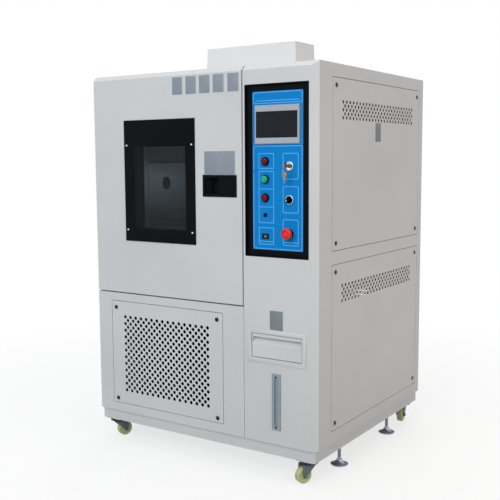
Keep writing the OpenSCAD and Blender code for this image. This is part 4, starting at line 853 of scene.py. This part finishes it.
class CHAMBER_OT_cable_loop(bpy.types.Operator):
    """Add the ribbed conduit that crosses the gap under the door"""

    bl_idname = "chamber.cable_loop"
    bl_label = "Cable loop"

    def execute(self, context):
        made = finishes()
        section = (CABLE_HIGH.y - CABLE_LOW.y) / 2 - CUFF_WALL
        bend = (CABLE_HIGH.z - CABLE_LOW.z - 2 * section - CUFF_WALL) / 2
        middle_y = (CABLE_LOW.y + CABLE_HIGH.y) / 2
        upper_z = CABLE_HIGH.z - section - CUFF_WALL
        middle_z = upper_z - bend
        flat_x = CABLE_LOW.x + section + bend
        begin()
        bpy.ops.mesh.primitive_torus_add(
            major_radius=bend, minor_radius=section - RIB_HEIGHT, major_segments=LOOP_STEPS,
            minor_segments=16)
        loop = bpy.context.object
        with editing("SELECT"):
            bpy.ops.mesh.bisect(plane_co=(0, 0, 0), plane_no=(1, 0, 0), clear_outer=True, use_fill=True)
        for vertex in loop.data.vertices:
            turn = math.atan2(vertex.co.y, vertex.co.x) / (2 * math.pi) * LOOP_STEPS
            vertex.select = abs(turn - round(turn)) < 0.05 and round(turn) % 2 == 0
        with editing():
            bpy.ops.transform.shrink_fatten(value=RIB_HEIGHT)
        loop.rotation_euler = (math.pi / 2, 0, 0)
        loop.location = (flat_x, middle_y, middle_z)
        settle(loop, "cable_loop", made["conduit"], None, 50.0)
        gland = disc("cable_gland", Vector(((flat_x + DOOR_LOW.x) / 2, middle_y, upper_z)),
                     section + CUFF_WALL, DOOR_LOW.x - flat_x + 0.0002, made["fitting"], "door",
                     FACING_LEFT, sides=12)
        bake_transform(loop)
        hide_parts("door_cable")
        return {"FINISHED"}


# Height of the part of a hinge leaf that carries screws, and how far the screws stand off the side
LEAF_HEIGHT = 0.0415
LEAF_FACE = 0.0044


class CHAMBER_OT_hinge_screws(bpy.types.Operator):
    """Add the countersunk screws of the hinge leaves"""

    bl_idname = "chamber.hinge_screws"
    bl_label = "Hinge screws"

    def execute(self, context):
        made = finishes()
        door_low, door_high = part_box("door_hinges")
        cabinet_low, cabinet_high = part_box("cabinet_hinges")
        lower, upper = door_low.z + LEAF_HEIGHT / 2, door_high.z - LEAF_HEIGHT / 2
        drop = lower - (cabinet_low.z + LEAF_HEIGHT / 2)
        leaf_x = DOOR_LOW.x - LEAF_FACE
        for body, y, down in (("door", door_low.y + 0.016, 0.0), ("cabinet", cabinet_high.y - 0.016, drop)):
            for level, z in (("lower", lower), ("upper", upper)):
                for place, shift in (("foot", -0.011), ("head", 0.011)):
                    disc("screw_%s_%s_%s" % (body, level, place), Vector((leaf_x, y, z - down + shift)),
                         0.0042, 0.0012, made["zinc"], body, FACING_LEFT, 0.0004, 20, -0.0006)
        return {"FINISHED"}


# The pressed border round the water drawer
BORDER_GAP = 0.002
BORDER_WIDTH = 0.0165


class CHAMBER_OT_front_trim(bpy.types.Operator):
    """Add the screw caps of the window and gauge, and the pressed border round the water drawer"""

    bl_idname = "chamber.front_trim"
    bl_label = "Front trim"

    def execute(self, context):
        made = finishes()
        for side, x in (("left", WINDOW_LOW.x + 0.0135), ("right", WINDOW_HIGH.x - 0.0135)):
            for level, z in (("lower", GLASS_LOW.z - 0.006), ("upper", GLASS_HIGH.z + 0.005)):
                disc("window_cap_%s_%s" % (side, level), Vector((x, WINDOW_LOW.y - 0.0004, z)), 0.0034,
                     0.0010, made["white"], "door", rounding=0.0004, sides=24)
        x = (GAUGE_LOW.x + GAUGE_HIGH.x) / 2
        for level, z in (("lower", GAUGE_LOW.z + 0.010), ("upper", GAUGE_HIGH.z - 0.010)):
            disc("gauge_screw_" + level, Vector((x, GAUGE_LOW.y - 0.0002, z)), 0.0036, 0.0014,
                 made["fitting"], "cabinet", rounding=0.0004, sides=20, dish=-0.0004)
        gap, width = BORDER_GAP, BORDER_WIDTH
        low = (DRAWER_LOW.x - gap - width, DRAWER_LOW.z - gap - width)
        high = (DRAWER_HIGH.x + gap + width, DRAWER_HIGH.z + gap + width)
        obj = rounded_face(low, high, FRONT_Y - 0.0014, 0.0)
        open_middle(BORDER_WIDTH)
        thicken(obj, 0.0003)
        mark_faces(obj, FRONTWARD, 0.9)
        with editing():
            bpy.ops.mesh.inset(thickness=0.004, depth=0.0022)
        settle(obj, "drawer_border", made["coat"], "cabinet", 50.0)
        return {"FINISHED"}


# Stage

# The camera was solved from corner points of the photograph
PHOTO_WIDTH = 500
FOCAL_PIXELS = 815.733
SENSOR_WIDTH = 36.0
CAMERA_YAW, CAMERA_PITCH, CAMERA_ROLL = 33.58368, -6.34477, -0.34344
CAMERA_PLACE = at(1716.5, -2251.2, 1070.3)
CLIP_END = 60.0
FLOOR_SIZE = 60.0
LAMP_TARGET = at(0, 300, 700)
# Name, place, width in metres, power in watts and colour of each studio lamp
LAMPS = (
    ("Key lamp", at(500, -4300, 3300), 3.2, 148.0, (0.94, 0.98, 1.0)),
    ("Side lamp", at(4200, -300, 2600), 3.0, 56.0, (1.0, 0.85, 0.73)),
    ("Top lamp", at(-300, 500, 4600), 3.0, 50.0, (1.0, 0.985, 0.97)),
    ("Rear lamp", at(-1200, 4200, 3200), 3.0, 60.0, (1.0, 1.0, 1.0)),
)


def seen_by(tree, *rays):
    """One where any of the named kinds of ray arrives."""
    path = add_node(tree, "ShaderNodeLightPath").outputs
    share = path[rays[0]]
    for ray in rays[1:]:
        share = calc(tree, "MAXIMUM", share, path[ray])
    return share


def plain_light(tree, kind, colour, strength):
    """The light of an emission or a background."""
    return feed(tree, add_node(tree, kind), {"Color": (*colour, 1), "Strength": strength}).outputs[0]


def mixed_output(tree, kind, share, first, second):
    """The output of a tree that blends two shaders."""
    mix = feed(tree, add_node(tree, "ShaderNodeMixShader"), {"Fac": share, 1: first, 2: second})
    feed(tree, add_node(tree, kind), {"Surface": mix.outputs["Shader"]})


def add_floor():
    """A pale floor that looks white away from the chamber and keeps the chamber's shadow."""
    bpy.ops.mesh.primitive_plane_add(size=FLOOR_SIZE, location=(0, 0, 0))
    floor = bpy.context.object
    floor.name = "studio_floor"
    material = bpy.data.materials.new("Studio floor")
    tree = empty_tree(material)
    grey = blend(tree, seen_by(tree, "Is Camera Ray"), (0.56, 0.56, 0.56, 1), (0.95, 0.95, 0.95, 1))
    matt = feed(tree, add_node(tree, "ShaderNodeBsdfDiffuse"), {"Color": grey}).outputs["BSDF"]
    glow = plain_light(tree, "ShaderNodeEmission", (1, 1, 1), 1.0)
    reach = feed(tree, add_node(tree, "ShaderNodeVectorMath", operation="LENGTH"), {0: object_place(tree)})
    limits = {"From Min": 0.5, "From Max": 2.6, "To Min": 0.72, "To Max": 1.0}
    fade = fit_range(tree, reach.outputs["Value"], limits, interpolation_type="SMOOTHSTEP")
    share = calc(tree, "MULTIPLY", seen_by(tree, "Is Camera Ray", "Is Glossy Ray"), fade)
    mixed_output(tree, "ShaderNodeOutputMaterial", share, matt, glow)
    floor.data.materials.append(material)


def add_world(scene):
    """A soft sky that looks white to the camera and in gloss and glass."""
    scene.world = bpy.data.worlds.new("Studio")
    tree = empty_tree(scene.world)
    soft = plain_light(tree, "ShaderNodeBackground", (0.93, 0.96, 1.0), 0.30)
    white = plain_light(tree, "ShaderNodeBackground", (1, 1, 1), 1.0)
    share = seen_by(tree, "Is Camera Ray", "Is Glossy Ray", "Is Transmission Ray")
    mixed_output(tree, "ShaderNodeOutputWorld", share, soft, white)


def add_lamp(name, place, size, power, colour, **turn):
    """A square lamp."""
    bpy.ops.object.light_add(type="AREA", location=place, **turn)
    lamp = bpy.context.object
    lamp.name = name
    lamp.data.energy = power
    lamp.data.size = size
    lamp.data.color = colour
    return lamp


def add_camera(scene):
    """The camera at the photograph's viewing angle."""
    yaw, pitch, roll = (math.radians(angle) for angle in (CAMERA_YAW, CAMERA_PITCH, CAMERA_ROLL))
    ahead = Vector((-math.sin(yaw) * math.cos(pitch), math.cos(yaw) * math.cos(pitch), math.sin(pitch)))
    across = Vector((math.cos(yaw), math.sin(yaw), 0))
    upward = across.cross(ahead)
    right = across * math.cos(roll) + upward * math.sin(roll)
    up = upward * math.cos(roll) - across * math.sin(roll)
    bpy.ops.object.camera_add(location=CAMERA_PLACE)
    camera = bpy.context.object
    camera.name = "Photograph view"
    camera.rotation_euler = Matrix((right, up, -ahead)).transposed().to_4x4().to_euler()
    camera.data.sensor_width = SENSOR_WIDTH
    camera.data.lens = FOCAL_PIXELS / PHOTO_WIDTH * SENSOR_WIDTH
    camera.data.clip_end = CLIP_END
    scene.camera = camera


class CHAMBER_OT_stage(bpy.types.Operator):
    """Set the floor, the lamps, the world and the camera"""

    bl_idname = "chamber.stage"
    bl_label = "Stage"

    def execute(self, context):
        begin()
        add_floor()
        add_world(context.scene)
        for name, place, size, power, colour in LAMPS:
            lamp = add_lamp(name, place, size, power, colour)
            lamp.rotation_mode = "QUATERNION"
            lamp.rotation_quaternion = (LAMP_TARGET - place).to_track_quat("-Z", "Y")
        # A dim lamp in the test space lights its left wall, which is seen through the window
        add_lamp("Test space lamp", at(88, 300, 985), 0.1, 0.26, (0.66, 0.87, 1.0), rotation=(0, 1.35, 0))
        add_camera(context.scene)
        context.scene.view_settings.view_transform = "Standard"
        begin()
        return {"FINISHED"}


STEPS = (
    CHAMBER_OT_stage, CHAMBER_OT_finishes, CHAMBER_OT_cable_loop, CHAMBER_OT_panel_lines,
    CHAMBER_OT_switch_trim, CHAMBER_OT_plates, CHAMBER_OT_door_seal, CHAMBER_OT_hinge_screws,
    CHAMBER_OT_front_trim,
)


class CHAMBER_PT_sidebar(bpy.types.Panel):
    """Sizes, colours and steps of the test chamber"""

    bl_idname = "CHAMBER_PT_sidebar"
    bl_label = "Test Chamber"
    bl_space_type = "VIEW_3D"
    bl_region_type = "UI"
    bl_category = "Test Chamber"

    def draw(self, context):
        column = self.layout.column(align=True)
        for group in (context.scene.chamber_sizes, context.scene.chamber_colours):
            for name in group.__annotations__:
                column.prop(group, name)
        for step in STEPS:
            column.operator(step.bl_idname)


CLASSES = (ChamberSizes, ChamberColours, *STEPS, CHAMBER_PT_sidebar)


def register():
    for cls in CLASSES:
        bpy.utils.register_class(cls)
    bpy.types.Scene.chamber_sizes = bpy.props.PointerProperty(type=ChamberSizes)
    bpy.types.Scene.chamber_colours = bpy.props.PointerProperty(type=ChamberColours)


def unregister():
    del bpy.types.Scene.chamber_colours
    del bpy.types.Scene.chamber_sizes
    for cls in reversed(CLASSES):
        bpy.utils.unregister_class(cls)


def main():
    register()
    for step in STEPS:
        family, name = step.bl_idname.split(".")
        result = getattr(getattr(bpy.ops, family), name)()
        if "FINISHED" not in result:
            raise RuntimeError("%s did not finish" % step.bl_idname)


if __name__ == "__main__":
    main()
